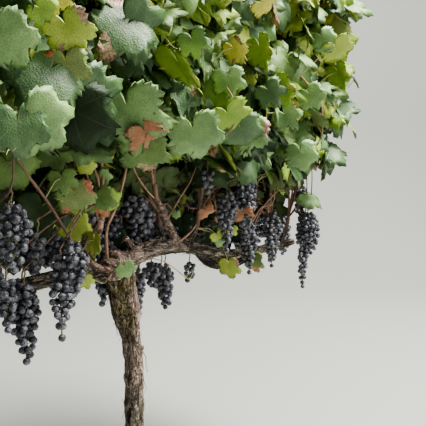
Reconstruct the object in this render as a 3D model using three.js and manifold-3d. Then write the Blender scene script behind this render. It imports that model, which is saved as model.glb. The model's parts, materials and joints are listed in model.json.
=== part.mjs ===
// A grapevine trained along a row: trunk, two arms, a curled old spur and eleven masses of shoots.
// Millimetres, +Z up, X along the row, -Y the side that is looked at, origin on the ground under the trunk.
import * as THREE from 'three';
import { mergeVertices } from 'three/addons/utils/BufferGeometryUtils.js';
import Module from 'manifold-3d';

const wasm = await Module();
wasm.setup();

// Driving sizes of the trunk
const TRUNK_RADIUS = 22.5;
const TRUNK_FLARE = 22;
const FLARE_HEIGHT = 48;
const HEAD_RADIUS = 35;
const HEAD_HEIGHT = 812;
const HEAD_LEAN = -55;
const STRAIGHT_HEIGHT = 560;
const RING_HEIGHTS = [168, 262, 345, 432, 505, 575];
const RING_SWELL = 2.6;
const RING_WIDTH = 11;
const RIDGES = 0.055;

// Driving sizes of the arms
const ARM_RIGHT_REACH = 770;
const ARM_RIGHT_RADIUS = 25;
const ARM_LEFT_REACH = -520;
const ARM_LEFT_RADIUS = 23;
const ARM_TIP_RADIUS = 11;
const UNDER_LIMB_RADIUS = 15;
const ARM_HEIGHT = 826;
const ARM_SAG = 60;
const SPUR_RADIUS = 9;
const SPUR_TIP_RADIUS = 7;

// Driving sizes of the crown
const CROWN_LEFT = -640;
const CROWN_RIGHT = 880;
const CROWN_FRONT = -272;
const CROWN_BACK = 262;
const CROWN_TOP = 1870;
const CROWN_LEAN_HEIGHT = 1330;
const LEAF_WALL_FOOT = 1010;
const CLEAR = 0.3;
const MASS_MARGIN = 0.5;

// Driving sizes of shoots, leaves and fruit
const STEM_RADIUS = 6.2;
const CANE_RADIUS = 5.2;
const CANE_TIP_RADIUS = 3.4;
const CANE_SPACING = 84;
const CANE_SPREAD = 1.1;
const CANE_STEPS = 6;
const NODES_PER_CANE = 9;
const LEAF_LENGTH = 136;
const LEAF_WIDTH = 138;
const LEAF_THICKNESS = 4.4;
const LEAF_DROOP = 6;
const STALK_LENGTH = 74;
const STALK_FOOT = 1.3;
const STALK_SLANT = 0.25;
const PEDUNCLE_RADIUS = 2.4;
const PAST_ARM = 44;
const LEAF_TRIES = 26;
const LOW_LEAF_SHARE = 0.3;
const SEED = 4100;

const BARK = { color: 0x6d5c4b, roughness: 0.93, metalness: 0 };
const YOUNG_BARK = { color: 0x7a4a35, roughness: 0.7, metalness: 0 };
const FOLIAGE = { color: 0x5f8047, roughness: 0.6, metalness: 0 };

const UP = new THREE.Vector3(0, 0, 1);
const at = (x, y, z) => new THREE.Vector3(x, y, z);
const mix = (a, b, t) => a + (b - a) * t;
const smooth = (from, to, value) => THREE.MathUtils.smoothstep(value, from, to);
const bump = (value, centre, width) => Math.exp(-(((value - centre) / width) ** 2));

// A seeded source of numbers from 0 to 1, so that the plant grows alike each time
function seeded(seed) {
  let state = seed >>> 0;
  return () => {
    state = (state + 0x6d2b79f5) >>> 0;
    let t = Math.imul(state ^ (state >>> 15), 1 | state);
    t = (t + Math.imul(t ^ (t >>> 7), 61 | t)) ^ t;
    return ((t ^ (t >>> 14)) >>> 0) / 4294967296;
  };
}

// A closed geometry as a solid, with shared corners merged and flattened faces dropped
function solidOf(geometry) {
  geometry.deleteAttribute('normal');
  geometry.deleteAttribute('uv');
  const merged = mergeVertices(geometry, 1e-4);
  const index = merged.index.array;
  const faces = [];
  for (let i = 0; i < index.length; i += 3) {
    const [a, b, c] = [index[i], index[i + 1], index[i + 2]];
    if (a !== b && b !== c && c !== a) faces.push(a, b, c);
  }
  const vertProperties = new Float32Array(merged.attributes.position.array);
  return new wasm.Manifold(new wasm.Mesh({ numProp: 3, vertProperties, triVerts: new Uint32Array(faces) }));
}

// Many solids joined into one, pair by pair
function joined(solids) {
  let row = solids;
  while (row.length > 1) {
    const next = [];
    for (let i = 0; i < row.length; i += 2) next.push(i + 1 < row.length ? row[i].add(row[i + 1]) : row[i]);
    row = next;
  }
  return row[0];
}

// The largest body of a solid, so that loose scraps and sealed hollows go
function wholeBody(solid) {
  const bodies = solid.decompose();
  return bodies.reduce((best, body) => (body.volume() > best.volume() ? body : best));
}

// A round limb with closed ends along a path, its radius given by a rule of (t, angle)
function limb(path, radiusAt, sides, steps) {
  const geometry = new THREE.CylinderGeometry(1, 1, 1, sides, steps, false);
  const frames = path.computeFrenetFrames(steps, false);
  const centres = [];
  for (let i = 0; i <= steps; i += 1) centres.push(path.getPoint(i / steps));
  const position = geometry.attributes.position;
  for (let i = 0; i < position.count; i += 1) {
    const t = position.getY(i) + 0.5;
    const step = Math.round(t * steps);
    const radial = Math.hypot(position.getX(i), position.getZ(i));
    const angle = Math.atan2(position.getZ(i), position.getX(i));
    const out = radial < 0.5 ? 0 : radiusAt(t, angle);
    const across = frames.normals[step].clone().multiplyScalar(Math.cos(angle) * out);
    const along = frames.binormals[step].clone().multiplyScalar(-Math.sin(angle) * out);
    const place = centres[step].clone().add(across).add(along);
    position.setXYZ(i, place.x, place.y, place.z);
  }
  return geometry;
}

// A faceted knot of wood, an uneven ball
function knot(centre, radius, squash = 1, detail = 1) {
  const ball = new THREE.IcosahedronGeometry(radius, detail);
  const position = ball.attributes.position;
  for (let i = 0; i < position.count; i += 1) {
    const [x, y, z] = [position.getX(i), position.getY(i), position.getZ(i)];
    const lump = 1 + 0.1 * Math.sin(x / 7 + 1) * Math.cos(z / 9) + 0.06 * Math.sin(y / 6);
    position.setXYZ(i, centre.x + x * lump, centre.y + y * lump, centre.z + z * lump * squash);
  }
  return solidOf(ball);
}

// Trunk: straight below, leaning and widening into its gnarled head above
const trunkPath = new THREE.CatmullRomCurve3([
  at(0, 0, 0),
  at(2, 3, STRAIGHT_HEIGHT * 0.33),
  at(-5, 4, STRAIGHT_HEIGHT * 0.7),
  at(-6, 2, STRAIGHT_HEIGHT),
  at(HEAD_LEAN * 0.4, 0, mix(STRAIGHT_HEIGHT, HEAD_HEIGHT, 0.37)),
  at(HEAD_LEAN * 0.76, 2, mix(STRAIGHT_HEIGHT, HEAD_HEIGHT, 0.74)),
  at(HEAD_LEAN, 2, HEAD_HEIGHT),
]);

function trunkRadius(t, angle) {
  const z = trunkPath.getPoint(t).z;
  const flare = TRUNK_FLARE * Math.exp(-z / FLARE_HEIGHT);
  const swell = (HEAD_RADIUS - TRUNK_RADIUS) * smooth(STRAIGHT_HEIGHT + 50, STRAIGHT_HEIGHT + 130, z);
  const rings = RING_HEIGHTS.reduce((sum, height) => sum + RING_SWELL * bump(z, height, RING_WIDTH), 0);
  const ridges = Math.sin(3 * angle + z / 95) + 0.8 * Math.sin(5 * angle - z / 70 + 1);
  const toes = 0.2 * Math.exp(-z / FLARE_HEIGHT) * Math.sin(4 * angle + 0.6);
  return (TRUNK_RADIUS + flare + swell + rings) * (1 + RIDGES * ridges + toes);
}

function trunkSolid(grow) {
  const geometry = limb(trunkPath, (t, angle) => trunkRadius(t, angle) + grow, 14, 28);
  const position = geometry.attributes.position;
  for (let i = 0; i < position.count; i += 1) if (position.getZ(i) < 4) position.setZ(i, 0);
  const head = at(HEAD_LEAN - 3, 2, HEAD_HEIGHT - 2);
  return joined([
    solidOf(geometry),
    knot(head, HEAD_RADIUS + 2 + grow, 0.86),
    knot(at(head.x - 26, head.y - 20, head.z - 14), 20 + grow, 1, 0),
    knot(at(head.x - 8, head.y - 28, head.z - 34), 15 + grow, 1, 0),
  ]);
}

// Arms along the row, each one tapering limb with its spurs fused on
const armRightPath = new THREE.CatmullRomCurve3([
  at(HEAD_LEAN + 6, 0, HEAD_HEIGHT - 8),
  at(0, -2, ARM_HEIGHT - 4),
  at(90, 0, ARM_HEIGHT + 6),
  at(ARM_RIGHT_REACH * 0.25, 3, ARM_HEIGHT - 4),
  at(ARM_RIGHT_REACH * 0.45, 0, ARM_HEIGHT - ARM_SAG * 0.78),
  at(ARM_RIGHT_REACH * 0.68, -3, ARM_HEIGHT - ARM_SAG),
  at(ARM_RIGHT_REACH, 0, ARM_HEIGHT - ARM_SAG),
]);
// The old limb that lies close under the right arm, from one bend of it to the next
const underLimbPath = new THREE.CatmullRomCurve3([
  at(ARM_RIGHT_REACH * 0.32, 2, ARM_HEIGHT - ARM_SAG * 0.45),
  at(ARM_RIGHT_REACH * 0.4, 10, ARM_HEIGHT - ARM_SAG * 1.1),
  at(ARM_RIGHT_REACH * 0.52, 14, ARM_HEIGHT - ARM_SAG * 1.45),
  at(ARM_RIGHT_REACH * 0.64, 12, ARM_HEIGHT - ARM_SAG * 1.35),
  at(ARM_RIGHT_REACH * 0.72, 2, ARM_HEIGHT - ARM_SAG),
]);
const armLeftPath = new THREE.CatmullRomCurve3([
  at(HEAD_LEAN - 4, 0, HEAD_HEIGHT - 14),
  at(HEAD_LEAN * 2.2, 4, HEAD_HEIGHT - 16),
  at(ARM_LEFT_REACH * 0.45, 0, HEAD_HEIGHT - 6),
  at(ARM_LEFT_REACH * 0.72, -4, HEAD_HEIGHT - 14),
  at(ARM_LEFT_REACH, 0, HEAD_HEIGHT - 22),
]);

// The point of a path that runs along X, at a given x
function pointAlong(path, x) {
  const rising = path.getPoint(1).x > path.getPoint(0).x;
  let [low, high] = [0, 1];
  for (let i = 0; i < 24; i += 1) {
    const middle = (low + high) / 2;
    if (path.getPoint(middle).x < x === rising) low = middle;
    else high = middle;
  }
  return path.getPoint(low);
}

function underLimbSolid(grow) {
  const rule = (t) => UNDER_LIMB_RADIUS * (0.75 + 0.35 * Math.sin(Math.PI * t)) + grow;
  return solidOf(limb(underLimbPath, rule, 7, 8));
}

function armSolid(path, radius, grow) {
  const rule = (t, angle) => {
    const gnarl = 0.06 * Math.sin(11 * t + 2 * angle) + 0.05 * Math.sin(23 * t - 3 * angle + 1);
    return mix(radius, ARM_TIP_RADIUS, t ** 1.2) * (1 + gnarl) + grow;
  };
  return solidOf(limb(path, rule, 7, 16));
}

// A spur: a short old stub that carries a mass of shoots on its flat end
function spurPath(spur) {
  const arm = spur.x > HEAD_LEAN ? armRightPath : armLeftPath;
  const foot = pointAlong(arm, spur.x);
  return new THREE.CatmullRomCurve3([foot, ...spur.bends.map(([x, y, z]) => at(foot.x + x, y, foot.z + z))]);
}

function spurSolid(spur, grow) {
  const thick = spur.radius ?? SPUR_RADIUS;
  const rule = (t, angle) => mix(thick, SPUR_TIP_RADIUS, t) * (1 + 0.1 * Math.sin(9 * t + 2 * angle)) + grow;
  return solidOf(limb(spurPath(spur), rule, 5, spur.bends.length * 2));
}

const frontSpur = (x, lean = 0) => ({ x, bends: [[lean * 0.3, -8, 26], [lean, -20, 56]] });
const backSpur = (x, lean = 0) => ({ x, bends: [[lean * 0.3, 8, 24], [lean, 20, 50]] });

// The curled old spur on the front of the head
const curledPath = new THREE.CatmullRomCurve3([
  at(HEAD_LEAN - 26, -20, HEAD_HEIGHT - 8),
  at(-132, -40, HEAD_HEIGHT + 2),
  at(-176, -50, HEAD_HEIGHT + 22),
  at(-198, -52, HEAD_HEIGHT + 56),
  at(-186, -50, HEAD_HEIGHT + 82),
  at(-158, -48, HEAD_HEIGHT + 92),
  at(-148, -52, HEAD_HEIGHT + 122),
]);

function curledSolid(grow) {
  const rule = (t, angle) => 7.4 + grow + 4.5 * bump(t, 0.86, 0.07) + 0.6 * Math.sin(14 * t + 3 * angle);
  return solidOf(limb(curledPath, rule, 8, 20));
}

// Spurs and the masses that they carry. A bunch is [x, y, top, length, radius]
const oldSpur = { x: 160, radius: 12, bends: [[-36, -12, 44], [-74, -24, 88], [-112, -32, 138]] };
const brokenSpur = { x: 6, radius: 8, bends: [[-20, -3, 27], [-42, -6, 50]] };
const MASSES = [
  { name: 'foliage_front_1', side: -1, edges: [CROWN_LEFT, -385], spur: frontSpur(-455, -6),
    bunches: [[-404, -112, 987, 122, 38], [-545, -84, 900, 150, 42]] },
  { name: 'foliage_front_2', side: -1, edges: [-385, -122], tip: curledPath,
    bunches: [[-271, -104, 904, 128, 38], [-297, -104, 862, 152, 26], [-318, -62, 921, 80, 18],
      [-389, -60, 844, 106, 23], [-347, -54, 823, 167, 32]] },
  { name: 'foliage_front_3', side: -1, edges: [-122, 112], spur: oldSpur,
    bunches: [] },
  { name: 'foliage_front_4', side: -1, edges: [112, 386], spur: frontSpur(205, 14),
    bunches: [[367, -80, 1003, 147, 41], [281, -78, 978, 170, 31], [190, -84, 1040, 60, 22]] },
  { name: 'foliage_front_5', side: -1, edges: [386, 592], spur: frontSpur(488, -8),
    bunches: [[414, -62, 874, 153, 27], [520, -74, 898, 169, 34]] },
  { name: 'foliage_front_6', side: -1, edges: [592, CROWN_RIGHT], spur: frontSpur(684, 10),
    bunches: [[743, -76, 880, 155, 50], [721, -72, 850, 225, 27], [744, -44, 979, 123, 31]] },
  { name: 'foliage_back_1', side: 1, edges: [CROWN_LEFT, -262], spur: backSpur(-440, -8),
    bunches: [[-520, 86, 950, 150, 42], [-350, 72, 930, 160, 42], [-396, 44, 770, 130, 34]] },
  { name: 'foliage_back_2', side: 1, edges: [-262, -8], spur: backSpur(-140, 6),
    bunches: [[-206, 84, 990, 150, 40], [-29, 50, 930, 104, 35], [-50, 60, 808, 76, 15]] },
  { name: 'foliage_back_3', side: 1, edges: [-8, 248], spur: backSpur(104, 8),
    bunches: [[50, 58, 970, 146, 39], [126, 56, 920, 95, 33], [107, 47, 785, 72, 30],
      [146, 34, 775, 127, 31], [221, 80, 1047, 153, 40], [59, 52, 764, 109, 17]] },
  { name: 'foliage_back_4', side: 1, edges: [248, 490], spur: backSpur(352, 10),
    bunches: [[300, 76, 960, 150, 42], [424, 80, 930, 150, 42]] },
  { name: 'foliage_back_5', side: 1, edges: [490, CROWN_RIGHT], spur: backSpur(640, 14),
    bunches: [[556, 80, 900, 160, 42], [672, 80, 940, 170, 44], [800, 62, 860, 150, 40]] },
];
const EDGE_LEANS = [0, 0.1, -0.12, 0.1, -0.1, 0.12, 0];
const FRONT_MASSES = 6;

// The space of a mass: a slice of the crown between two leaning planes and the plane of the row
function spaceOf(mass, order) {
  const lean = (edge) => {
    const x = mass.edges[edge - order];
    return x === CROWN_LEFT || x === CROWN_RIGHT ? 0 : -mass.side * EDGE_LEANS[edge];
  };
  const edgeAt = (side, z) => mass.edges[side] + lean(order + side) * (z - CROWN_LEAN_HEIGHT);
  const [near, far] = mass.side < 0 ? [CROWN_FRONT, 0] : [0, CROWN_BACK];
  const holds = ({ x, y, z }) => x > edgeAt(0, z) + MASS_MARGIN && x < edgeAt(1, z) - MASS_MARGIN
    && y > near + MASS_MARGIN && y < far - MASS_MARGIN && z < CROWN_TOP;
  return { edgeAt, holds };
}

// A three-sided twig through points, with closed ends
function twig(points, radius, tipRadius, sides = 3) {
  const steps = points.length - 1;
  const path = { getPoint: (t) => points[Math.round(t * steps)] };
  const tangents = points.map((p, i) => {
    const before = points[Math.max(i - 1, 0)];
    const after = points[Math.min(i + 1, steps)];
    return after.clone().sub(before).normalize();
  });
  const side = new THREE.Vector3().crossVectors(tangents[0], at(0.3, 1, 0.2)).normalize();
  const normals = tangents.map((tangent) => {
    side.addScaledVector(tangent, -side.dot(tangent)).normalize();
    return side.clone();
  });
  const binormals = normals.map((normal, i) => new THREE.Vector3().crossVectors(tangents[i], normal));
  path.computeFrenetFrames = () => ({ normals, binormals });
  return solidOf(limb(path, (t) => mix(radius, tipRadius, t), sides, steps));
}

// Canes of a mass: from the stem's fork they fan out over the mass's slice and rise to its top
function growCanes(mass, space, fork, random) {
  const canes = [];
  const count = Math.round((mass.edges[1] - mass.edges[0]) / CANE_SPACING);
  for (let k = 0; k < count; k += 1) {
    const share = 0.5 + ((k + 0.5) / count - 0.5) * CANE_SPREAD + (random() - 0.5) * 0.12;
    const top = CROWN_TOP - 60 - 130 * random();
    const across = mix(space.edgeAt(0, top), space.edgeAt(1, top), share);
    const target = at(across, mass.side * (18 + 66 * random()), top);
    const bow = at((random() - 0.5) * 30, mass.side * (8 + 24 * random()), 0);
    const points = [];
    for (let i = 0; i <= CANE_STEPS; i += 1) {
      const t = i / CANE_STEPS;
      const point = fork.clone().lerp(target, t);
      point.x = mix(fork.x, target.x, smooth(0, 0.5, t)) + bow.x * Math.sin(Math.PI * t);
      point.y += bow.y * Math.sin(Math.PI * t);
      if (i > 0) point.add(at((random() - 0.5) * 18, (random() - 0.5) * 18, 0));
      points.push(point);
    }
    canes.push(points);
  }
  return canes;
}

// A leaf blade on its stalk as one solid: kite outline, thickest where the stalk meets it
function leafSolid(root, notch, midrib, facing, size) {
  const across = new THREE.Vector3().crossVectors(midrib, facing).normalize();
  const spot = (u, v, w) => notch.clone().addScaledVector(midrib, u * size * LEAF_LENGTH)
    .addScaledVector(across, v * size * LEAF_WIDTH).addScaledVector(facing, w);
  const right = spot(-0.02, 0.03, 0);
  const left = spot(-0.02, -0.03, 0);
  const tip = spot(1, 0, -LEAF_DROOP);
  const rim = [right, spot(0.2, 0.5, -LEAF_DROOP), tip, spot(0.2, -0.5, -LEAF_DROOP), left];
  const top = spot(0.1, 0, LEAF_THICKNESS / 2);
  const under = spot(0.1, 0, -LEAF_THICKNESS / 2);
  const stalk = notch.clone().sub(root).normalize();
  const behind = under.clone().sub(right).cross(right.clone().sub(left)).normalize();
  if (behind.dot(stalk) > -STALK_SLANT) return null;

  // The stalk's foot is a small triangle, turned like the face of the blade that the stalk grows from
  const ahead = under.clone().sub(right).sub(left).add(notch);
  ahead.addScaledVector(stalk, -ahead.dot(stalk)).setLength(STALK_FOOT);
  const aside = new THREE.Vector3().crossVectors(ahead, stalk).multiplyScalar(0.87);
  const footUnder = root.clone().add(ahead);
  const footRight = root.clone().addScaledVector(ahead, -0.5).add(aside);
  const footLeft = root.clone().addScaledVector(ahead, -0.5).sub(aside);
  const corners = [top, left, right];
  for (let i = 0; i < 4; i += 1) corners.push(top, rim[i], rim[i + 1], under, rim[i + 1], rim[i]);
  corners.push(under, right, footRight, under, footRight, footUnder);
  corners.push(right, left, footLeft, right, footLeft, footRight);
  corners.push(left, under, footUnder, left, footUnder, footLeft);
  corners.push(footUnder, footRight, footLeft);
  return { solid: solidOf(new THREE.BufferGeometry().setFromPoints(corners)), corners: [...rim, top, under] };
}

// One try at a leaf on a cane: a stalk out of the cane and a blade that hangs and looks outwards
function tryLeaf(mass, root, turn, random) {
  const end = mass.edges[0] === CROWN_LEFT ? -1 : Number(mass.edges[1] === CROWN_RIGHT);
  const sway = (random() - 0.5) * 2.7 + end * mass.side * -0.55 * random();
  const out = at(0, mass.side, 0).applyAxisAngle(UP, sway);
  const size = 0.78 + 0.44 * random();
  const reach = STALK_LENGTH * (0.6 + 0.7 * random());
  const stalk = out.clone().multiplyScalar(0.75).add(at(turn * 0.55, 0, 0.2 + 0.6 * random())).normalize();
  const notch = root.clone().addScaledVector(stalk, reach);
  const high = smooth(CROWN_TOP - 260, CROWN_TOP, notch.z);
  const tilt = mix(0.15 + 0.75 * random(), 1.15, high * random());
  const facing = out.clone().multiplyScalar(Math.cos(tilt)).addScaledVector(UP, Math.sin(tilt)).normalize();
  const down = at(0, 0, -1).addScaledVector(facing, facing.z).normalize();
  const midrib = down.applyAxisAngle(facing, (random() - 0.5) * 1.7);
  return leafSolid(root, notch, midrib, facing, size);
}

// A bunch of grapes as one lumpy drop with its stalk up to the nearest cane
function bunchSolid([x, y, top, length, radius], canes, side) {
  const profile = [[0, 0], [0.62, 0.06], [1, 0.26], [0.9, 0.5], [0.56, 0.82], [0, 1]];
  const outline = profile.map(([wide, down]) => new THREE.Vector2(wide * radius, -down * length));
  const drop = new THREE.LatheGeometry(outline.reverse(), 5);
  drop.rotateX(Math.PI / 2);
  const position = drop.attributes.position;
  for (let i = 0; i < position.count; i += 1) {
    const angle = Math.atan2(position.getY(i), position.getX(i));
    const lump = 1 - 0.07 + 0.07 * Math.sin(2 * angle + position.getZ(i) / 30 + x);
    position.setXYZ(i, x + position.getX(i) * lump, y + position.getY(i) * lump, top + position.getZ(i));
  }
  const hook = at(x, y, top + 8);
  const points = canes.flatMap((cane) => cane.slice(0, -1).flatMap((p, i) => [0, 0.25, 0.5, 0.75].map(
    (t) => p.clone().lerp(cane[i + 1], t))));
  const above = points.filter((p) => p.z > top + 12);
  const holder = above.reduce((best, p) => (p.distanceTo(hook) < best.distanceTo(hook) ? p : best));
  const pastArm = Math.max(PAST_ARM, Math.abs(mix(y, holder.y, 0.3)));
  const bend = at(mix(x, holder.x, 0.3), side * pastArm, mix(top, holder.z, 0.7));
  const stalk = twig([holder, bend, at(x, y, top - length * 0.2)], PEDUNCLE_RADIUS, PEDUNCLE_RADIUS);
  return [solidOf(drop), stalk];
}

// Grow one mass: stem, canes, bunches, then leaves one at a time where there is room
function massSolid(mass, order, limbs) {
  const random = seeded(SEED + order);
  const space = spaceOf(mass, order % FRONT_MASSES);
  const tip = mass.tip ?? spurPath(mass.spur);
  const onward = tip.getTangent(1);
  const foot = tip.getPoint(1).addScaledVector(onward, CLEAR);
  const fork = foot.clone().addScaledVector(onward, 14).add(at(0, 0, 26));
  const canes = growCanes(mass, space, fork, random);
  const wood = [twig([foot, foot.clone().addScaledVector(onward, 14), fork], STEM_RADIUS, STEM_RADIUS, 5)];
  wood.push(knot(fork, STEM_RADIUS * 1.3, 1, 0));
  wood.push(...canes.map((points) => twig(points, CANE_RADIUS, CANE_TIP_RADIUS)));
  const fruit = mass.bunches.flatMap((bunch) => bunchSolid(bunch, canes, mass.side));
  let blades = joined(fruit.length ? fruit : [wood[0]]);
  const leaves = [];
  for (let node = 0; node < NODES_PER_CANE; node += 1) {
    canes.forEach((cane, k) => {
      const place = ((node + 0.6 + 0.3 * random()) / NODES_PER_CANE) * CANE_STEPS;
      const step = Math.min(Math.floor(place), CANE_STEPS - 1);
      const root = cane[step].clone().lerp(cane[step + 1], place - step);
      const skip = random() > LOW_LEAF_SHARE && root.z < LEAF_WALL_FOOT;
      for (let tries = 0; tries < LEAF_TRIES && !skip; tries += 1) {
        const leaf = tryLeaf(mass, root, (node + k) % 2 ? 1 : -1, random);
        if (!leaf || !leaf.corners.every(space.holds)) continue;
        if (!leaf.solid.intersect(limbs).isEmpty()) continue;
        if (!leaf.solid.intersect(blades).isEmpty()) continue;
        leaves.push(leaf.solid);
        blades = blades.add(leaf.solid);
        break;
      }
    });
  }
  return wholeBody(joined([...wood, ...fruit, ...leaves]));
}

// Build every node, the limbs first, so that the masses grow clear of them
const plant = new THREE.Group();

function addNode(name, solid, look) {
  const mesh = solid.getMesh();
  const geometry = new THREE.BufferGeometry();
  geometry.setAttribute('position', new THREE.BufferAttribute(new Float32Array(mesh.vertProperties), 3));
  geometry.setIndex(new THREE.BufferAttribute(new Uint32Array(mesh.triVerts), 1));
  geometry.computeVertexNormals();
  const node = new THREE.Mesh(geometry, new THREE.MeshStandardMaterial(look));
  node.name = name;
  plant.add(node);
}

const spurs = [brokenSpur, ...MASSES.flatMap((mass) => mass.spur ?? [])];
const spursOn = (right, grow) => spurs.filter((spur) => (spur.x > HEAD_LEAN) === right)
  .map((spur) => spurSolid(spur, grow));

function limbSolids(grow) {
  const trunk = trunkSolid(grow);
  const trunkAndGap = trunkSolid(Math.max(grow, CLEAR));
  const right = joined([
    armSolid(armRightPath, ARM_RIGHT_RADIUS, grow),
    underLimbSolid(grow),
    ...spursOn(true, grow),
  ]);
  const left = joined([armSolid(armLeftPath, ARM_LEFT_RADIUS, grow), ...spursOn(false, grow)]);
  const armRight = wholeBody(right.subtract(trunkAndGap));
  const armLeft = wholeBody(left.subtract(trunkAndGap));
  const curled = wholeBody(curledSolid(grow).subtract(trunkAndGap));
  return { trunk: wholeBody(trunk), arm_right: armRight, arm_left: armLeft, curled_spur: curled };
}

const limbs = limbSolids(0);
const barkOf = (name) => (name === 'curled_spur' ? YOUNG_BARK : BARK);
Object.entries(limbs).forEach(([name, solid]) => addNode(name, solid, barkOf(name)));
const keptClear = joined(Object.values(limbSolids(CLEAR * 0.8)));
MASSES.forEach((mass, order) => addNode(mass.name, massSolid(mass, order, keptClear), FOLIAGE));

export default plant;
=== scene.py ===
# A grapevine trained along a row: relief bark over trunk and arms, canes that fan up into a wall of
# lobed leaves, and hanging bunches of bloomed berries.
# Metres, +Z up, X along the row, -Y the side that is looked at, origin on the ground under the trunk.
# Bunches, chosen leaves and chosen canes are listed in millimetres.
import json
import math

import bmesh
import bpy
import numpy as np
from mathutils import Matrix, Vector, noise

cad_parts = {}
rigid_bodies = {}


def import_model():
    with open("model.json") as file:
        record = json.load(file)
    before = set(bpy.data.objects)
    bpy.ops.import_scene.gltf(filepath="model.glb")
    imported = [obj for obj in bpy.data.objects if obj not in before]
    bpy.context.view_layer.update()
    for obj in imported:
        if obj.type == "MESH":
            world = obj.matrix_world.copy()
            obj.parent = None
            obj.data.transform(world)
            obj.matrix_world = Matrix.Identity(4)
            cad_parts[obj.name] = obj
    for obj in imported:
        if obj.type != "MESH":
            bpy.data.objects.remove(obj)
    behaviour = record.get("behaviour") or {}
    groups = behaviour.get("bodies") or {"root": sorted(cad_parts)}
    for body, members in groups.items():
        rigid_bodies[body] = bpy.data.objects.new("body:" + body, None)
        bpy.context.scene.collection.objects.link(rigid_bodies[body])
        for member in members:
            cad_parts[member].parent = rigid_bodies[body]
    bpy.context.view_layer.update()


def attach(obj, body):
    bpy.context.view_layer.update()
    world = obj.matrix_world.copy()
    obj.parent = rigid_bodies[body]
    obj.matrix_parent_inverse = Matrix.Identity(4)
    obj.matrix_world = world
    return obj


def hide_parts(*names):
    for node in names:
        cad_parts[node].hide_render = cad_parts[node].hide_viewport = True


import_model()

# The photograph's camera: where it stands, its heading over the ground, its tilt and its lens
CAMERA_PLACE = Vector((-0.9593, -1.0320, 1.0722))
CAMERA_HEADING = Vector((0.777, 0.629))
CAMERA_TILT = math.radians(-5.81)
FOCAL_PIXELS = 560
PHOTO_PIXELS = 426
SENSOR_WIDTH = 36

# Sizes of the floor and of the wall that it curves up into
FLOOR_HALF = 30.0
FLOOR_DROP = 0.001
WALL_AT = 4.5
WALL_TOP = 9.0
WALL_CURVE = 1.5
CURVE_STEPS = 12

# Sizes of the trunk
TRUNK_RADIUS = 0.0225
TRUNK_FLARE = 0.022
FLARE_HEIGHT = 0.048
HEAD_RADIUS = 0.035
HEAD_HEIGHT = 0.812
HEAD_LEAN = -0.055
STRAIGHT_HEIGHT = 0.560
RING_HEIGHTS = (0.168, 0.262, 0.345, 0.432, 0.505, 0.575)
RING_SWELL = 0.0026
RING_WIDTH = 0.011
RIDGES = 0.055

# Sizes of the arms and spurs
ARM_RIGHT_REACH = 0.770
ARM_RIGHT_RADIUS = 0.025
ARM_LEFT_REACH = -0.520
ARM_LEFT_RADIUS = 0.023
ARM_TIP_RADIUS = 0.011
UNDER_LIMB_RADIUS = 0.015
ARM_HEIGHT = 0.826
ARM_SAG = 0.060
SPUR_RADIUS = 0.009
SPUR_TIP_RADIUS = 0.007

# Sizes of the crown
CROWN_LEFT = -0.640
CROWN_RIGHT = 0.880
CROWN_FRONT = -0.252
CROWN_BACK = 0.256
CROWN_TOP = 1.870
CROWN_LEAN_HEIGHT = 1.330
CLEAR = 0.0003

# Sizes of shoots, leaves and fruit
CANE_RADIUS = 0.0033
CANE_TIP_RADIUS = 0.0018
CANE_SPACING = 0.084
CANE_SPREAD = 1.1
CANE_STEPS = 6
CANE_NODES = 15
STEM_RISE = 0.026
STEM_RUN = 0.014
LEAF_LENGTH = 0.063
STALK_LENGTH = 0.074
STALK_RADIUS = 0.0013
BERRY_RADIUS = 0.0082
BERRY_TRIES = 900000
BERRY_SPACING = 0.88
SHADE_LEAVES = 14
CHOSEN_SCALE = 0.9
LEAF_TRIES = 8
BOTH_SIDES_FROM = 1.5
SIDE_SHOOT_SHARE = 0.62
BROWN_SHARE = 0.6
TENDRIL_SHARE = 0.3
EDGE_GAP = 0.004

# Sizes of the bark: each skin's grain, how deep its relief is, its strings' width and length and the
# radius that they go round, then its knobs and shreds
TRUNK_GRAIN = 0.0017
TRUNK_RELIEF = 0.0036
TRUNK_STRINGS = (0.0075, 0.050)
TRUNK_GIRTH = 0.028
ARM_GRAIN = 0.0019
ARM_RELIEF = 0.0022
ARM_STRINGS = (0.0055, 0.060)
ARM_GIRTH = 0.020
CURLED_GRAIN = 0.0013
CURLED_RELIEF = 0.0014
CURLED_STRINGS = (0.005, 0.040)
CURLED_GIRTH = 0.008
FOOT_CUT = 0.003
PATH_SAMPLES = 160
BATCH = 4000
HEAD_KNOBS = 26
ARM_KNOBS = 34
CURLED_KNOBS = 10
SHREDS = 420
SHRED_FLOOR = 0.03

# Colours: the floor, the tones of old and young bark, moss, bare wood, and a vein
PAPER = (0.36, 0.37, 0.35)
OLD_TONES = ((0.015, 0.011, 0.008), (0.046, 0.036, 0.027), (0.104, 0.085, 0.063), (0.24, 0.202, 0.156))
RED_TONES = ((0.060, 0.036, 0.027), (0.125, 0.074, 0.053), (0.20, 0.125, 0.092), (0.31, 0.21, 0.16))
MOSS = ((0.030, 0.022, 0.009), (0.29, 0.225, 0.070))
ROSE = ((0.17, 0.108, 0.084), (0.44, 0.315, 0.260))
VEIN_TONE = (0.27, 0.33, 0.10)

# What each row of random numbers is started from
SEED = 4100
LEAF_SEED = 500
HEAD_SEED = 700
ARM_SEED = 720
CURLED_SEED = 740
SHRED_SEED = 800
BERRY_SEED = 900
SHAPE_SEED = 70

UP = Vector((0, 0, 1))


def mix(a, b, t):
    return a + (b - a) * t


def smooth(low, high, value):
    t = min(max((value - low) / (high - low), 0.0), 1.0)
    return t * t * (3 - 2 * t)


def bump(value, centre, width):
    return math.exp(-(((value - centre) / width) ** 2))


def metres(*sizes):
    """Sizes listed in millimetres, in metres."""
    return tuple(size / 1000 for size in sizes)


def taper(thick, thin, steps):
    """A radius for each point of a line that narrows evenly."""
    return [mix(thick, thin, i / steps) for i in range(steps + 1)]


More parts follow.
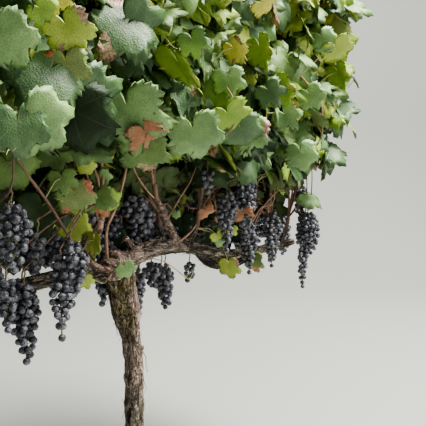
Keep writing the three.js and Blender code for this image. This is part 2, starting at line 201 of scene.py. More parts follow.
def stray(draw):
    """A random step, up to half a unit each way."""
    return Vector((draw() - 0.5, draw() - 0.5, draw() - 0.5))


def turn_of(x_axis, y_axis, z_axis):
    """The turn that brings the axes to these directions."""
    return Matrix((x_axis, y_axis, z_axis)).transposed().to_euler()


def seeded(seed):
    """A source of numbers from 0 to 1 that gives the same row of numbers for the same seed."""
    word = 0xFFFFFFFF
    state = seed

    def draw():
        nonlocal state
        state = (state + 0x6D2B79F5) & word
        t = ((state ^ (state >> 15)) * (1 | state)) & word
        t = (t + (((t ^ (t >> 7)) * (61 | t)) & word)) & word ^ t
        return (t ^ (t >> 14)) / (word + 1)

    return draw


class Path:
    """A smooth line through points, as a bent limb runs."""

    def __init__(self, *points):
        self.points = [Vector(p) for p in points]

    def at(self, t):
        last = len(self.points) - 1
        here = min(int(last * t), last - 1)
        share = last * t - here
        start, end = self.points[here], self.points[here + 1]
        before = self.points[here - 1] if here > 0 else 2 * start - end
        after = self.points[here + 2] if here + 2 <= last else 2 * end - start
        gap_in, gap, gap_out = ((b - a).length ** 0.5 for a, b in
                                ((before, start), (start, end), (end, after)))
        leave = ((start - before) / gap_in - (end - before) / (gap_in + gap)) * gap + (end - start)
        reach = (end - start) + ((after - end) / gap_out - (after - start) / (gap + gap_out)) * gap
        square = (end - start) * 3 - leave * 2 - reach
        cube = (start - end) * 2 + leave + reach
        return start + leave * share + square * share ** 2 + cube * share ** 3

    def line(self, steps):
        return [self.at(i / steps) for i in range(steps + 1)]

    def tangent(self, t):
        return (self.at(min(t + 1e-4, 1)) - self.at(max(t - 1e-4, 0))).normalized()

    def at_x(self, x):
        """The point at a given x, on a path that runs along X."""
        rising = self.at(1).x > self.at(0).x
        low, high = 0.0, 1.0
        for _ in range(24):
            middle = (low + high) / 2
            if (self.at(middle).x < x) == rising:
                low = middle
            else:
                high = middle
        return self.at(low)

    def frames(self, steps):
        """Centre, tangent and two directions across, carried along without twist."""
        tangents = [self.tangent(i / steps) for i in range(steps + 1)]
        sizes = [abs(c) for c in tangents[0]]
        axis = Vector((0, 0, 0))
        axis[sizes.index(min(sizes))] = 1
        across = tangents[0].cross(tangents[0].cross(axis).normalized())
        rows = []
        for i, tangent in enumerate(tangents):
            across = (across - tangent * across.dot(tangent)).normalized()
            rows.append((self.at(i / steps), tangent, across.copy(), tangent.cross(across)))
        return rows


# Limbs: the same paths and thicknesses as the solids
TRUNK = Path(
    (0, 0, 0),
    (0.002, 0.003, STRAIGHT_HEIGHT * 0.33),
    (-0.005, 0.004, STRAIGHT_HEIGHT * 0.7),
    (-0.006, 0.002, STRAIGHT_HEIGHT),
    (HEAD_LEAN * 0.4, 0, mix(STRAIGHT_HEIGHT, HEAD_HEIGHT, 0.37)),
    (HEAD_LEAN * 0.76, 0.002, mix(STRAIGHT_HEIGHT, HEAD_HEIGHT, 0.74)),
    (HEAD_LEAN, 0.002, HEAD_HEIGHT),
)
ARM_RIGHT = Path(
    (HEAD_LEAN + 0.006, 0, HEAD_HEIGHT - 0.008),
    (0, -0.002, ARM_HEIGHT - 0.004),
    (0.090, 0, ARM_HEIGHT + 0.006),
    (ARM_RIGHT_REACH * 0.25, 0.003, ARM_HEIGHT - 0.004),
    (ARM_RIGHT_REACH * 0.45, 0, ARM_HEIGHT - ARM_SAG * 0.78),
    (ARM_RIGHT_REACH * 0.68, -0.003, ARM_HEIGHT - ARM_SAG),
    (ARM_RIGHT_REACH, 0, ARM_HEIGHT - ARM_SAG),
)
UNDER_LIMB = Path(
    (ARM_RIGHT_REACH * 0.32, 0.002, ARM_HEIGHT - ARM_SAG * 0.45),
    (ARM_RIGHT_REACH * 0.4, 0.010, ARM_HEIGHT - ARM_SAG * 1.1),
    (ARM_RIGHT_REACH * 0.52, 0.014, ARM_HEIGHT - ARM_SAG * 1.45),
    (ARM_RIGHT_REACH * 0.64, 0.012, ARM_HEIGHT - ARM_SAG * 1.35),
    (ARM_RIGHT_REACH * 0.72, 0.002, ARM_HEIGHT - ARM_SAG),
)
ARM_LEFT = Path(
    (HEAD_LEAN - 0.004, 0, HEAD_HEIGHT - 0.014),
    (HEAD_LEAN * 2.2, 0.004, HEAD_HEIGHT - 0.016),
    (ARM_LEFT_REACH * 0.45, 0, HEAD_HEIGHT - 0.006),
    (ARM_LEFT_REACH * 0.72, -0.004, HEAD_HEIGHT - 0.014),
    (ARM_LEFT_REACH, 0, HEAD_HEIGHT - 0.022),
)
CURLED = Path(
    (HEAD_LEAN - 0.026, -0.020, HEAD_HEIGHT - 0.008),
    (-0.132, -0.040, HEAD_HEIGHT + 0.002),
    (-0.176, -0.050, HEAD_HEIGHT + 0.022),
    (-0.198, -0.052, HEAD_HEIGHT + 0.056),
    (-0.186, -0.050, HEAD_HEIGHT + 0.082),
    (-0.158, -0.048, HEAD_HEIGHT + 0.092),
    (-0.148, -0.052, HEAD_HEIGHT + 0.122),
)


def spur(x, *bends):
    """The path of a short old stub from the arm at x, with its bends as (x, y, z) from there."""
    arm = ARM_RIGHT if x > HEAD_LEAN else ARM_LEFT
    foot = arm.at_x(x)
    return Path(foot, *((foot.x + right, y, foot.z + rise) for right, y, rise in bends))


def front_spur(x, lean):
    return spur(x, (lean * 0.3, -0.008, 0.026), (lean, -0.020, 0.056))


def back_spur(x, lean):
    return spur(x, (lean * 0.3, 0.008, 0.024), (lean, 0.020, 0.050))


OLD_SPUR = spur(0.160, (-0.036, -0.012, 0.044), (-0.074, -0.024, 0.088), (-0.112, -0.032, 0.138))
BROKEN_SPUR = spur(0.006, (-0.020, -0.003, 0.027), (-0.042, -0.006, 0.050))

# The masses of shoots: side, edges along the row, the limb that carries them, and their bunches in
# millimetres, each with its place along and across the row, its top, its length and its radius
MASSES = (
    ("foliage_front_1", -1, (CROWN_LEFT, -0.385), front_spur(-0.455, -0.006), (
        (-404, -112, 987, 122, 38), (-545, -84, 900, 150, 42), (-339, -35, 828, 110, 34),
        (-372, -30, 825, 90, 30))),
    ("foliage_front_2", -1, (-0.385, -0.122), CURLED, (
        (-271, -104, 904, 128, 38), (-297, -104, 862, 152, 26), (-318, -62, 921, 80, 18),
        (-389, -60, 844, 106, 23), (-347, -54, 823, 167, 32))),
    ("foliage_front_3", -1, (-0.122, 0.112), OLD_SPUR, (
        (10, 6, 975, 75, 36), (44, 16, 948, 85, 40))),
    ("foliage_front_4", -1, (0.112, 0.386), front_spur(0.205, 0.014), (
        (367, -80, 1003, 147, 41), (281, -78, 978, 170, 31), (190, -84, 1040, 60, 22))),
    ("foliage_front_5", -1, (0.386, 0.592), front_spur(0.488, -0.008), (
        (414, -62, 874, 153, 27), (520, -74, 898, 169, 34))),
    ("foliage_front_6", -1, (0.592, CROWN_RIGHT), front_spur(0.684, 0.010), (
        (743, -76, 880, 155, 50), (721, -72, 850, 225, 27), (744, -44, 979, 123, 31))),
    ("foliage_back_1", 1, (CROWN_LEFT, -0.262), back_spur(-0.440, -0.008), (
        (-520, 86, 950, 150, 42), (-350, 72, 930, 160, 42), (-396, 44, 770, 130, 34),
        (-440, 70, 990, 140, 36), (-290, 60, 970, 120, 32), (-262, 40, 890, 85, 30))),
    ("foliage_back_2", 1, (-0.262, -0.008), back_spur(-0.140, 0.006), (
        (-206, 84, 990, 150, 40), (-29, 50, 930, 104, 35), (-50, 60, 808, 76, 15),
        (-110, 40, 985, 120, 34), (-66, 72, 1010, 140, 34), (-22, 56, 920, 100, 30),
        (18, 45, 900, 85, 34), (-105, 45, 900, 100, 32), (-86, 34, 885, 70, 26),
        (-215, 45, 905, 90, 34), (-56, 56, 800, 85, 22), (-81, 30, 769, 60, 20))),
    ("foliage_back_3", 1, (-0.008, 0.248), back_spur(0.104, 0.008), (
        (50, 58, 970, 146, 39), (126, 56, 920, 95, 33), (107, 47, 785, 72, 30),
        (146, 34, 775, 127, 31), (221, 80, 1047, 153, 40), (59, 52, 764, 109, 17),
        (4, 90, 960, 120, 36), (84, 84, 985, 130, 34), (160, 64, 990, 110, 32),
        (190, 44, 900, 80, 26), (52, 50, 930, 85, 32), (148, 58, 930, 100, 32),
        (80, 45, 905, 85, 30), (60, 46, 776, 105, 21), (150, 52, 772, 95, 26))),
    ("foliage_back_4", 1, (0.248, 0.490), back_spur(0.352, 0.010), (
        (300, 76, 960, 150, 42), (424, 80, 930, 150, 42), (268, 56, 900, 80, 28),
        (360, 70, 960, 140, 36), (262, 70, 905, 90, 30), (330, 50, 885, 80, 34),
        (372, 50, 868, 80, 30), (255, 40, 764, 62, 22))),
    ("foliage_back_5", 1, (0.490, CROWN_RIGHT), back_spur(0.640, 0.014), (
        (556, 80, 900, 160, 42), (672, 80, 940, 170, 44), (800, 62, 860, 150, 40),
        (610, 70, 950, 140, 36))),
)
EDGE_LEANS = (0, 0.1, -0.12, 0.1, -0.1, 0.12, 0)

# The leaves that the photograph shows best: colour, shape, the stalk's end and the tip in
# millimetres, and the roll about the midrib in degrees
# The shade rows are near-black leaves, painted shade, most of them filling dark gaps behind the arms
# and bunches.
LEAF_ROWS = (
    ("pale", 0, -480, -225, 1258, -435, -225, 1202, 10),
    ("sage", 2, -385, -215, 1216, -447, -225, 1146, 5),
    ("sage", 0, -452, -220, 1127, -442, -220, 1058, -10),
    ("pale", 5, -428, -225, 1130, -361, -225, 1074, 0),
    ("shade", 2, -331, -200, 1154, -300, -190, 1056, 15),
    ("sage", 3, -310, -215, 1180, -232, -215, 1130, 0),
    ("sage", 6, -215, -220, 1319, -277, -220, 1251, 0),
    ("sage", 3, -202, -215, 1323, -120, -215, 1276, 0),
    ("pale", 1, -206, -205, 1168, -171, -190, 1060, 10),
    ("mid", 6, -148, -190, 1085, -109, -170, 1021, 10),
    ("pale", 0, -14, -210, 1130, 30, -200, 1050, 0),
    ("bright", 4, -69, -215, 1270, -5, -200, 1205, 60),
    ("lime", 7, -362, -230, 1291, -326, -230, 1239, 15),
    ("bright", 1, -405, -220, 1312, -370, -220, 1293, 0),
    ("yellow", 1, -374, -210, 1343, -332, -220, 1320, 0),
    ("dry", 8, -176, -225, 1120, -137, -220, 1074, 0),
    ("russet", 6, -356, -220, 1232, -342, -215, 1177, 0),
    ("deep", 2, -194, -190, 1269, -204, -180, 1211, 10),
    ("russet", 7, -248, -90, 996, -227, -90, 940, 0),
    ("russet", 6, -174, -75, 982, -157, -80, 930, 20),
    ("bright", 2, -142, -70, 970, -103, -70, 946, 10),
    ("pale", 0, -88, -62, 812, -71, -64, 781, 0),
    # this leaf inside the curled spur is given the lime green so that it looks lit in the shade there:
    # painted light
    ("lime", 4, -186, -74, 889, -189, -74, 841, 56),
    ("deep", 1, -284, -30, 969, -285, -30, 888, 0),
    ("lime", 5, -213, -30, 929, -201, -30, 873, 20),
    ("lime", 2, -263, -28, 940, -262, -28, 914, 0),
    ("shade", 0, 313, 60, 885, 322, 60, 800, 0),
    ("shade", 2, 365, 62, 880, 365, 62, 795, 0),
    ("mid", 2, -388, -80, 1059, -348, -80, 996, 0),
    ("mid", 0, -291, -80, 1084, -274, -80, 1032, 20),
    ("deep", 3, -139, 50, 925, -138, 50, 860, 0),
    ("bright", 3, -156, -60, 1092, -142, -60, 1066, 0),
    ("lime", 0, -105, -30, 1086, -93, -30, 1060, 20),
    ("lime", 2, -224, -100, 1054, -209, -100, 1028, 0),
    ("pale", 5, -155, -60, 1028, -135, -60, 1000, 15),
    ("bright", 0, 99, -40, 1072, 121, -40, 1046, 0),
    ("mid", 3, -284, -100, 1029, -276, -100, 985, 0),
    ("pale", 2, 107, -45, 923, 107, -45, 906, 0),
    ("dry", 8, 342, -90, 909, 358, -90, 868, 0),
    ("dry", 8, 199, -70, 924, 221, -70, 896, 0),
    ("lime", 5, 268, -55, 850, 290, -55, 824, 0),
    ("lime", 1, 324, -60, 862, 312, -60, 834, 0),
    ("pale", 2, 290, -55, 830, 314, -55, 806, 0),
    ("lime", 7, 341, -40, 752, 353, -45, 700, 30),
    ("russet", 6, 473, -35, 750, 481, -40, 694, 40),
    ("lime", 1, -171, -20, 792, -160, -20, 766, 0),
    ("bright", 3, 100, -220, 1170, 160, -210, 1120, 0),
    ("lime", 0, 640, -220, 1404, 700, -220, 1362, 0),
    ("sage", 2, 148, -220, 1140, 187, -210, 1073, 0),
    ("yellow", 0, 238, -220, 1450, 282, -220, 1432, 0),
    ("shade", 0, 168, 50, 883, 167, 50, 812, 0),
    ("shade", 2, 232, 55, 879, 231, 55, 808, 0),
    ("deep", 0, 310, 50, 856, 310, 50, 782, 0),
    ("shade", 4, 372, 50, 845, 372, 50, 768, 0),
    ("shade", 3, 443, 50, 835, 444, 50, 760, 0),
    ("shade", 0, -41, 40, 870, -42, 40, 812, 0),
    ("shade", 2, 0, 45, 868, -1, 45, 810, 0),
    ("pale", 7, 195, -212, 1145, 184, -198, 1069, 0),
    ("pale", 1, 402, -190, 1187, 427, -220, 1142, 10),
    ("sage", 3, 314, -191, 1246, 337, -219, 1196, 0),
    ("bright", 4, 364, -190, 1260, 388, -220, 1195, 35),
    ("bright", 4, 261, -198, 1350, 273, -212, 1276, 50),
    ("lime", 1, 688, -186, 1406, 719, -224, 1368, 20),
    ("bright", 4, 706, -195, 1339, 723, -215, 1270, 45),
    ("pale", 2, 602, -193, 1429, 622, -217, 1380, 0),
    ("pale", 3, 124, -201, 1259, 130, -209, 1200, 0),
    ("yellow", 7, 155, -193, 1334, 175, -217, 1290, 40),
    ("pale", 1, -3, -198, 1328, 8, -212, 1278, 10),
    ("pale", 0, 531, -192, 1255, 551, -218, 1202, 0),
    ("pale", 2, 474, -199, 1086, 484, -211, 1018, 0),
    ("shade", 0, -301, 60, 883, -300, 60, 803, 0),
    ("shade", 2, -258, 60, 873, -258, 60, 801, 0),
    ("deep", 3, -222, 55, 883, -222, 55, 809, 0),
    ("shade", 1, -190, 50, 889, -198, 50, 829, 0),
    ("shade", 2, 323, 100, 990, 322, 100, 930, 0),
    ("shade", 2, 52, 90, 926, 51, 90, 869, 0),
    ("shade", 2, 100, 60, 877, 99, 60, 817, 0),
)
CHOSEN_LEAVES = [(colour, shape, Vector(metres(*spots[:3])), Vector(metres(*spots[3:])), roll)
                 for colour, shape, *spots, roll in LEAF_ROWS]
CHOSEN_SPOTS = [(notch.lerp(tip, 0.5), (tip - notch).length) for _, _, notch, tip, _ in CHOSEN_LEAVES]
# Canes that show below the leaves: kind, thickness and the points that they run through, in millimetres
CHOSEN_CANES = (
    ("brown_canes", 3.0, ((-196, -53, 858), (-228, -62, 884), (-300, -80, 975),
                          (-388, -120, 1060), (-446, -140, 1160))),
    ("brown_canes", 2.6, ((-152, -49, 915), (-171, -58, 972), (-193, -70, 1019),
                          (-248, -100, 1084), (-290, -110, 1200))),
    ("tan_canes", 3.3, ((-100, -14, 830), (-112, -30, 906), (-81, -30, 957),
                        (-65, -60, 1086), (-63, -80, 1180))),
    ("tan_canes", 2.4, ((150, -8, 834), (207, -20, 873), (243, -30, 936),
                        (262, -40, 977), (282, -60, 1120))),
    ("tan_canes", 2.3, ((98, -20, 905), (137, -36, 967), (172, -40, 1008), (211, -60, 1120))),
    ("tan_canes", 1.9, ((48, -30, 962), (4, -40, 992), (-47, -50, 1051), (-70, -70, 1150))),
    ("tan_canes", 2.7, ((480, -18, 830), (524, -40, 914), (627, -80, 1017), (660, -90, 1120))),
    ("tan_canes", 1.5, ((20, -4, 826), (33, -24, 815), (72, -30, 801),
                        (112, -35, 775), (142, -40, 751))),
    ("tan_canes", 2.6, ((560, -130, 1330), (596, -190, 1245), (612, -195, 1183),
                        (621, -180, 1119), (600, -100, 1040))),
    ("tan_canes", 2.2, ((118, -150, 1290), (127, -215, 1207), (132, -215, 1149), (120, -130, 1080))),
    ("brown_canes", 3.0, ((-50, -80, 1340), (-56, -120, 1296), (-66, -120, 1251),
                          (-73, -110, 1200), (-70, -80, 1120))),
    ("green_stalks", 1.0, ((142, -40, 751), (160, -42, 740), (173, -42, 752), (175, -40, 765))),
    ("green_stalks", 1.0, ((142, -40, 751), (152, -38, 748), (158, -40, 758))),
    ("tan_canes", 1.2, ((3, -20, 578), (10, -26, 562), (13, -24, 540), (20, -22, 517))),
    ("green_stalks", 1.0, ((-150, -12, 790), (-137, -20, 784), (-116, -22, 775),
                           (-107, -20, 783), (-114, -18, 789))),
)
FRONT_MASSES = 6
MASS_NAMES = [mass[0] for mass in MASSES]


# Camera, light and floor

def set_camera():
    lens = bpy.data.cameras.new("photo_camera")
    lens.sensor_width = SENSOR_WIDTH
    lens.lens = SENSOR_WIDTH * FOCAL_PIXELS / PHOTO_PIXELS
    lens.clip_start = 0.01
    camera = bpy.data.objects.new("photo_camera", lens)
    flat = math.cos(CAMERA_TILT)
    look = Vector((CAMERA_HEADING.x * flat, CAMERA_HEADING.y * flat, math.sin(CAMERA_TILT)))
    camera.location = CAMERA_PLACE
    camera.rotation_euler = look.to_track_quat("-Z", "Y").to_euler()
    bpy.context.scene.collection.objects.link(camera)
    bpy.context.scene.camera = camera


def area_light(name, place, target, size, power, colour):
    lamp = bpy.data.lights.new(name, "AREA")
    lamp.size = size
    lamp.energy = power
    lamp.color = colour
    holder = bpy.data.objects.new(name, lamp)
    holder.location = place
    holder.rotation_euler = (Vector(target) - Vector(place)).to_track_quat("-Z", "Y").to_euler()
    bpy.context.scene.collection.objects.link(holder)


def set_stage():
    """A pale floor that curves up into a wall well behind the plant, under a soft high light."""
    profile = [(-FLOOR_HALF, 0.0), (WALL_AT - WALL_CURVE, 0.0)]
    profile += [(WALL_AT - WALL_CURVE + WALL_CURVE * math.sin(a), WALL_CURVE - WALL_CURVE * math.cos(a))
                for a in np.linspace(0, math.pi / 2, CURVE_STEPS)[1:]]
    profile.append((WALL_AT, WALL_TOP))
    mesh = bpy.data.meshes.new("studio_floor")
    heading = Vector((CAMERA_HEADING.x, CAMERA_HEADING.y, 0)).normalized()
    aside = heading.cross(UP)
    points = [heading * run + aside * reach + UP * (rise - FLOOR_DROP)
              for run, rise in profile for reach in (-FLOOR_HALF, FLOOR_HALF)]
    faces = [(2 * i + 1, 2 * i, 2 * i + 2, 2 * i + 3) for i in range(len(profile) - 1)]
    mesh.from_pydata(points, [], faces)
    mesh.shade_smooth()
    floor = bpy.data.objects.new("studio_floor", mesh)
    bpy.context.scene.collection.objects.link(floor)
    paper = bpy.data.materials.new("studio_paper")
    paper.use_nodes = True
    shader = paper.node_tree.nodes["Principled BSDF"]
    shader.inputs["Base Color"].default_value = (*PAPER, 1)
    shader.inputs["Roughness"].default_value = 0.9
    mesh.materials.append(paper)

    world = bpy.data.worlds.new("studio_air")
    world.use_nodes = True
    air = world.node_tree.nodes["Background"].inputs
    air["Color"].default_value = (0.80, 0.86, 0.93, 1)
    air["Strength"].default_value = 0.20
    bpy.context.scene.world = world
    area_light("sky_light", (1.78, -1.65, 4.85), (0.35, 0, 1.1), 1.8, 1200, (1.0, 0.98, 0.92))
    area_light("front_light", (1.7, -2.7, 2.4), (0, 0, 0.9), 1.4, 75, (1.0, 0.98, 0.95))
    area_light("back_light", (1.6, 2.6, 2.6), (0.1, 0, 1.1), 2.4, 25, (1.0, 0.99, 0.92))


# Materials

def node(tree, kind, inputs=None, **settings):
    """A shader or geometry node, with its inputs set to values or joined to other nodes' sockets."""
    made = tree.nodes.new(kind)
    for name, value in settings.items():
        setattr(made, name, value)
    for name, value in (inputs or {}).items():
        if isinstance(value, bpy.types.NodeSocket):
            tree.links.new(value, made.inputs[name])
        else:
            made.inputs[name].default_value = value
    return made


def new_material(name, roughness, specular):
    material = bpy.data.materials.new(name)
    material.use_nodes = True
    shader = material.node_tree.nodes["Principled BSDF"]
    shader.inputs["Roughness"].default_value = roughness
    shader.inputs["Specular IOR Level"].default_value = specular
    return material, material.node_tree, shader


def own_places(tree):
    return node(tree, "ShaderNodeTexCoord").outputs["Object"]


def stretched(tree, stretch):
    """The piece's own coordinates, stretched along a direction."""
    return node(tree, "ShaderNodeMapping",
                {"Vector": own_places(tree), "Scale": stretch}).outputs["Vector"]


def pattern(tree, scale, stretch=(1, 1, 1), detail=3.0):
    """Noise over the piece's own coordinates."""
    return node(tree, "ShaderNodeTexNoise", {"Vector": stretched(tree, stretch), "Scale": scale,
                                             "Detail": detail}).outputs["Fac"]


def cells(tree, place, scale, **settings):
    return node(tree, "ShaderNodeTexVoronoi", {"Vector": place, "Scale": scale}, **settings).outputs


def calc(tree, how, *values):
    """A sum, a product or the like of numbers and sockets."""
    return node(tree, "ShaderNodeMath", dict(enumerate(values)), operation=how).outputs[0]


def rescaled(tree, value, low, high, to_low=0.0, to_high=1.0, how="LINEAR"):
    """A value between low and high brought to the range between two others."""
    limits = {1: low, 2: high, 3: to_low, 4: to_high}
    return node(tree, "ShaderNodeMapRange", {"Value": value, **limits},
                interpolation_type=how).outputs[0]


def ramp(tree, factor, *stops):
    """Colours along a factor, each stop a place and a colour."""
    made = node(tree, "ShaderNodeValToRGB", {"Fac": factor})
    row = made.color_ramp.elements
    for i, (place, colour) in enumerate(stops):
        stop = row[i] if i < 2 else row.new(place)
        stop.position = place
        stop.color = (*colour, 1)
    return made.outputs["Color"]


def blend(tree, factor, first, second, how="MIX"):
    made = node(tree, "ShaderNodeMix", {"Factor": factor}, data_type="RGBA", blend_type=how)
    for socket, value in ((made.inputs[6], first), (made.inputs[7], second)):
        if isinstance(value, bpy.types.NodeSocket):
            tree.links.new(value, socket)
        else:
            socket.default_value = (*value, 1)
    return made.outputs[2]


def tinted(tree, colour, *tones):
    """A colour multiplied by each of the tones."""
    for tone in tones:
        colour = blend(tree, 1.0, colour, tone, "MULTIPLY")
    return colour


def attribute(tree, name):
    return node(tree, "ShaderNodeAttribute", attribute_name=name).outputs["Fac"]


def raise_bumps(tree, shader, height, strength, distance):
    made = node(tree, "ShaderNodeBump", {"Height": height, "Strength": strength, "Distance": distance})
    tree.links.new(made.outputs["Normal"], shader.inputs["Normal"])


def leaf_material(name, low, high, roughness, specular, patch=None):
    """A leaf's skin: mottled between two greens, quilted between its finest veins and faintly pleated,
    and where its margin withers mottled between the two colours of patch."""
    material, tree, shader = new_material(name, roughness, specular)
    broad = pattern(tree, 22, detail=2)
    edge = cells(tree, own_places(tree), 210.0, feature="DISTANCE_TO_EDGE")["Distance"]
    quilt = rescaled(tree, edge, 0.0, 0.32, how="SMOOTHSTEP")
    colour = ramp(tree, broad, (0.32, low), (0.68, high))
    if patch:
        spread = calc(tree, "ADD", attribute(tree, "withered"), pattern(tree, 110, detail=4))
        dry = ramp(tree, pattern(tree, 190, detail=2), (0.38, patch[0]), (0.58, patch[1]))
        colour = blend(tree, rescaled(tree, spread, 0.82, 0.96), colour, dry)
    speckle = ramp(tree, pattern(tree, 340), (0.3, (0.86, 0.86, 0.86)), (0.7, (1.10, 1.10, 1.10)))
    net = ramp(tree, quilt, (0.0, (1.22, 1.18, 1.15)), (0.6, (0.94, 0.94, 0.94)))
    tree.links.new(tinted(tree, colour, speckle, net), shader.inputs["Base Color"])
    phase = calc(tree, "MULTIPLY", attribute(tree, "pleat"), 74.0)
    pleats = calc(tree, "SINE", calc(tree, "MULTIPLY_ADD", broad, 9.0, phase))
    height = calc(tree, "MULTIPLY_ADD", pleats, 0.14, quilt)
    raise_bumps(tree, shader, calc(tree, "MULTIPLY_ADD", pattern(tree, 90), 3.4, height), 0.42, 0.0008)
    return material


def plain_leaf(name, colour):
    """One even tone, for veins."""
    material, _, shader = new_material(name, 0.6, 0.35)
    shader.inputs["Base Color"].default_value = (*colour, 1)
    return material


def flakes(tree, stretch):
    """How far a place is from the edge of its flake of bark, from 0 to 1, and the flake's own tone."""
    moved = stretched(tree, stretch)
    drift = node(tree, "ShaderNodeTexNoise", {"Vector": moved, "Scale": 0.9, "Detail": 2.0})
    bent = node(tree, "ShaderNodeVectorMath", {0: drift.outputs["Color"], 1: (1.6, 1.6, 1.6), 2: moved},
                operation="MULTIPLY_ADD").outputs["Vector"]
    edge = cells(tree, bent, 1.0, feature="DISTANCE_TO_EDGE")["Distance"]
    tone = ramp(tree, cells(tree, bent, 1.0)["Color"],
                (0.25, (0.70, 0.70, 0.70)), (0.75, (1.55, 1.52, 1.48)))
    return rescaled(tree, edge, 0.0, 0.14, how="SMOOTHSTEP"), tone


def bark_material(name, stretch, flake, tones):
    """Old bark: flakes with dark cracks and painted shade, and moss and bare pinkish wood where marked.
    """
    material, tree, shader = new_material(name, 0.93, 0.2)
    fibre = pattern(tree, 1.0, stretch, detail=4)
    plates, flake_tone = flakes(tree, flake)
    tone = calc(tree, "MULTIPLY", calc(tree, "ADD", attribute(tree, "tone"), fibre), 0.5)
    colour = ramp(tree, tone, *zip((0.32, 0.43, 0.54, 0.67), tones))
    grown = rescaled(tree, pattern(tree, 26), 0.35, 0.62, 0.25)
    moss_share = calc(tree, "MULTIPLY", attribute(tree, "moss"), grown)
    for share, pair in ((moss_share, MOSS), (attribute(tree, "rose"), ROSE)):
        colour = blend(tree, share, colour, ramp(tree, fibre, (0.35, pair[0]), (0.65, pair[1])))
    # Dark in the cracks, partly the wood's own dark and partly painted shade in the recesses, and
    # painted shade on undersides and on the limbs marked for it.
    shade = ramp(tree, attribute(tree, "crack"), (0.0, (0.03, 0.025, 0.022)), (0.62, (1.0, 1.0, 1.0)))
    edges = ramp(tree, plates, (0.0, (0.22, 0.20, 0.19)), (0.7, (1.15, 1.15, 1.15)))
    skin = tinted(tree, colour, shade, tinted(tree, flake_tone, edges))
    tree.links.new(skin, shader.inputs["Base Color"])
    raise_bumps(tree, shader, calc(tree, "MULTIPLY_ADD", plates, 0.7, fibre), 1.0, 0.0020)
    return material


def wood_material(name, low, high, stretch, roughness=0.6):
    """A young shoot's smooth skin, streaked along its length."""
    material, tree, shader = new_material(name, roughness, 0.4)
    streaks = pattern(tree, 1.0, stretch, detail=3)
    tree.links.new(ramp(tree, streaks, (0.34, low), (0.66, high)), shader.inputs["Base Color"])
    raise_bumps(tree, shader, streaks, 0.4, 0.0006)
    return material


def berry_material():
    """Blue-black skin under a grey wax bloom that is rubbed off here and there."""
    material, tree, shader = new_material("berry_skin", 0.42, 0.45)
    rubbed = pattern(tree, 420, detail=2)
    bloom = calc(tree, "MULTIPLY", calc(tree, "ADD", pattern(tree, 75, detail=4), rubbed), 0.5)
    colour = ramp(tree, bloom, (0.36, (0.006, 0.006, 0.009)), (0.5, (0.042, 0.043, 0.056)),
                  (0.62, (0.270, 0.275, 0.315)))
    tree.links.new(colour, shader.inputs["Base Color"])
    tree.links.new(rescaled(tree, bloom, 0.4, 0.6, 0.34, 0.62), shader.inputs["Roughness"])
    raise_bumps(tree, shader, rubbed, 0.15, 0.0004)
    return material


# Meshes

def new_mesh(name, points, faces):
    mesh = bpy.data.meshes.new(name)
    mesh.from_pydata([tuple(p) for p in points], [], [tuple(f) for f in faces])
    mesh.update()
    return mesh


def face_out(mesh):
    """Turn the faces of a closed mesh outwards."""
    body = bmesh.new()
    body.from_mesh(mesh)
    bmesh.ops.recalc_face_normals(body, faces=body.faces)
    body.to_mesh(mesh)
    body.free()


def vectors_of(mesh, field):
    """The places or normals of a mesh's points, one to a row."""
    numbers = np.empty(len(mesh.vertices) * 3)
    mesh.vertices.foreach_get(field, numbers)
    return numbers.reshape(-1, 3)


def mark_points(mesh, **marks):
    for name, values in marks.items():
        made = mesh.attributes.new(name, "FLOAT", "POINT")
        made.data.foreach_set("value", np.array(values, np.float32))


def new_piece(name, mesh):
    piece = bpy.data.objects.new(name, mesh)
    bpy.context.scene.collection.objects.link(piece)
    return piece


def with_modifier(piece, kind, inputs=None, **settings):
    """The mesh that a piece has after one modifier, which then is gone, and the piece with it."""
    modifier = piece.modifiers.new(kind.lower(), kind)
    for name, value in settings.items():
        setattr(modifier, name, value)
    for name, value in (inputs or {}).items():
        socket = next(s for s in modifier.node_group.interface.items_tree
                      if s.item_type == "SOCKET" and s.in_out == "INPUT" and s.name == name)
        modifier[socket.identifier] = value
    shown = piece.evaluated_get(bpy.context.evaluated_depsgraph_get())
    mesh = bpy.data.meshes.new_from_object(shown)
    source = piece.data
    bpy.data.objects.remove(piece)
    (bpy.data.curves if isinstance(source, bpy.types.Curve) else bpy.data.meshes).remove(source)
    return mesh


def dress(piece, slot, *nodes):
    """The finished piece rides on the plant's one body, and stands for the solids named."""
    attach(piece, "root")
    if nodes:
        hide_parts(*nodes)


# Bark: shells of each limb fused into one skin, then pushed out and in by the bark's own relief

def tube(path, radius_at, sides, steps):
    """Points and faces of a closed round limb, its radius given by a rule of (t, angle)."""
    rows = path.frames(steps)
    points = []
    for i, (centre, _, across, along) in enumerate(rows):
        for k in range(sides):
            angle = 2 * math.pi * k / sides
            out = radius_at(i / steps, angle)
            points.append(centre + across * (math.cos(angle) * out) - along * (math.sin(angle) * out))
    faces = []
    for i in range(steps):
        for k in range(sides):
            a, b = i * sides + k, i * sides + (k + 1) % sides
            faces.append((a, a + sides, b + sides, b))
    points += [rows[0][0], rows[-1][0]]
    low, high = len(points) - 2, len(points) - 1
    for k in range(sides):
        faces.append((low, k, (k + 1) % sides))
        faces.append((high, steps * sides + (k + 1) % sides, steps * sides + k))
    return points, faces


def knot(centre, radius, squash=1.0):
    """An uneven ball of old wood."""
    ball = bmesh.new()
    bmesh.ops.create_icosphere(ball, subdivisions=3, radius=radius)
    for corner in ball.verts:
        x, y, z = corner.co
        lump = 1 + 0.1 * math.sin(x / 0.007 + 1) * math.cos(z / 0.009) + 0.06 * math.sin(y / 0.006)
        corner.co = Vector((x * lump, y * lump, z * lump * squash)) + Vector(centre)
    points = [corner.co.copy() for corner in ball.verts]
    faces = [[corner.index for corner in face.verts] for face in ball.faces]
    ball.free()
    return points, faces


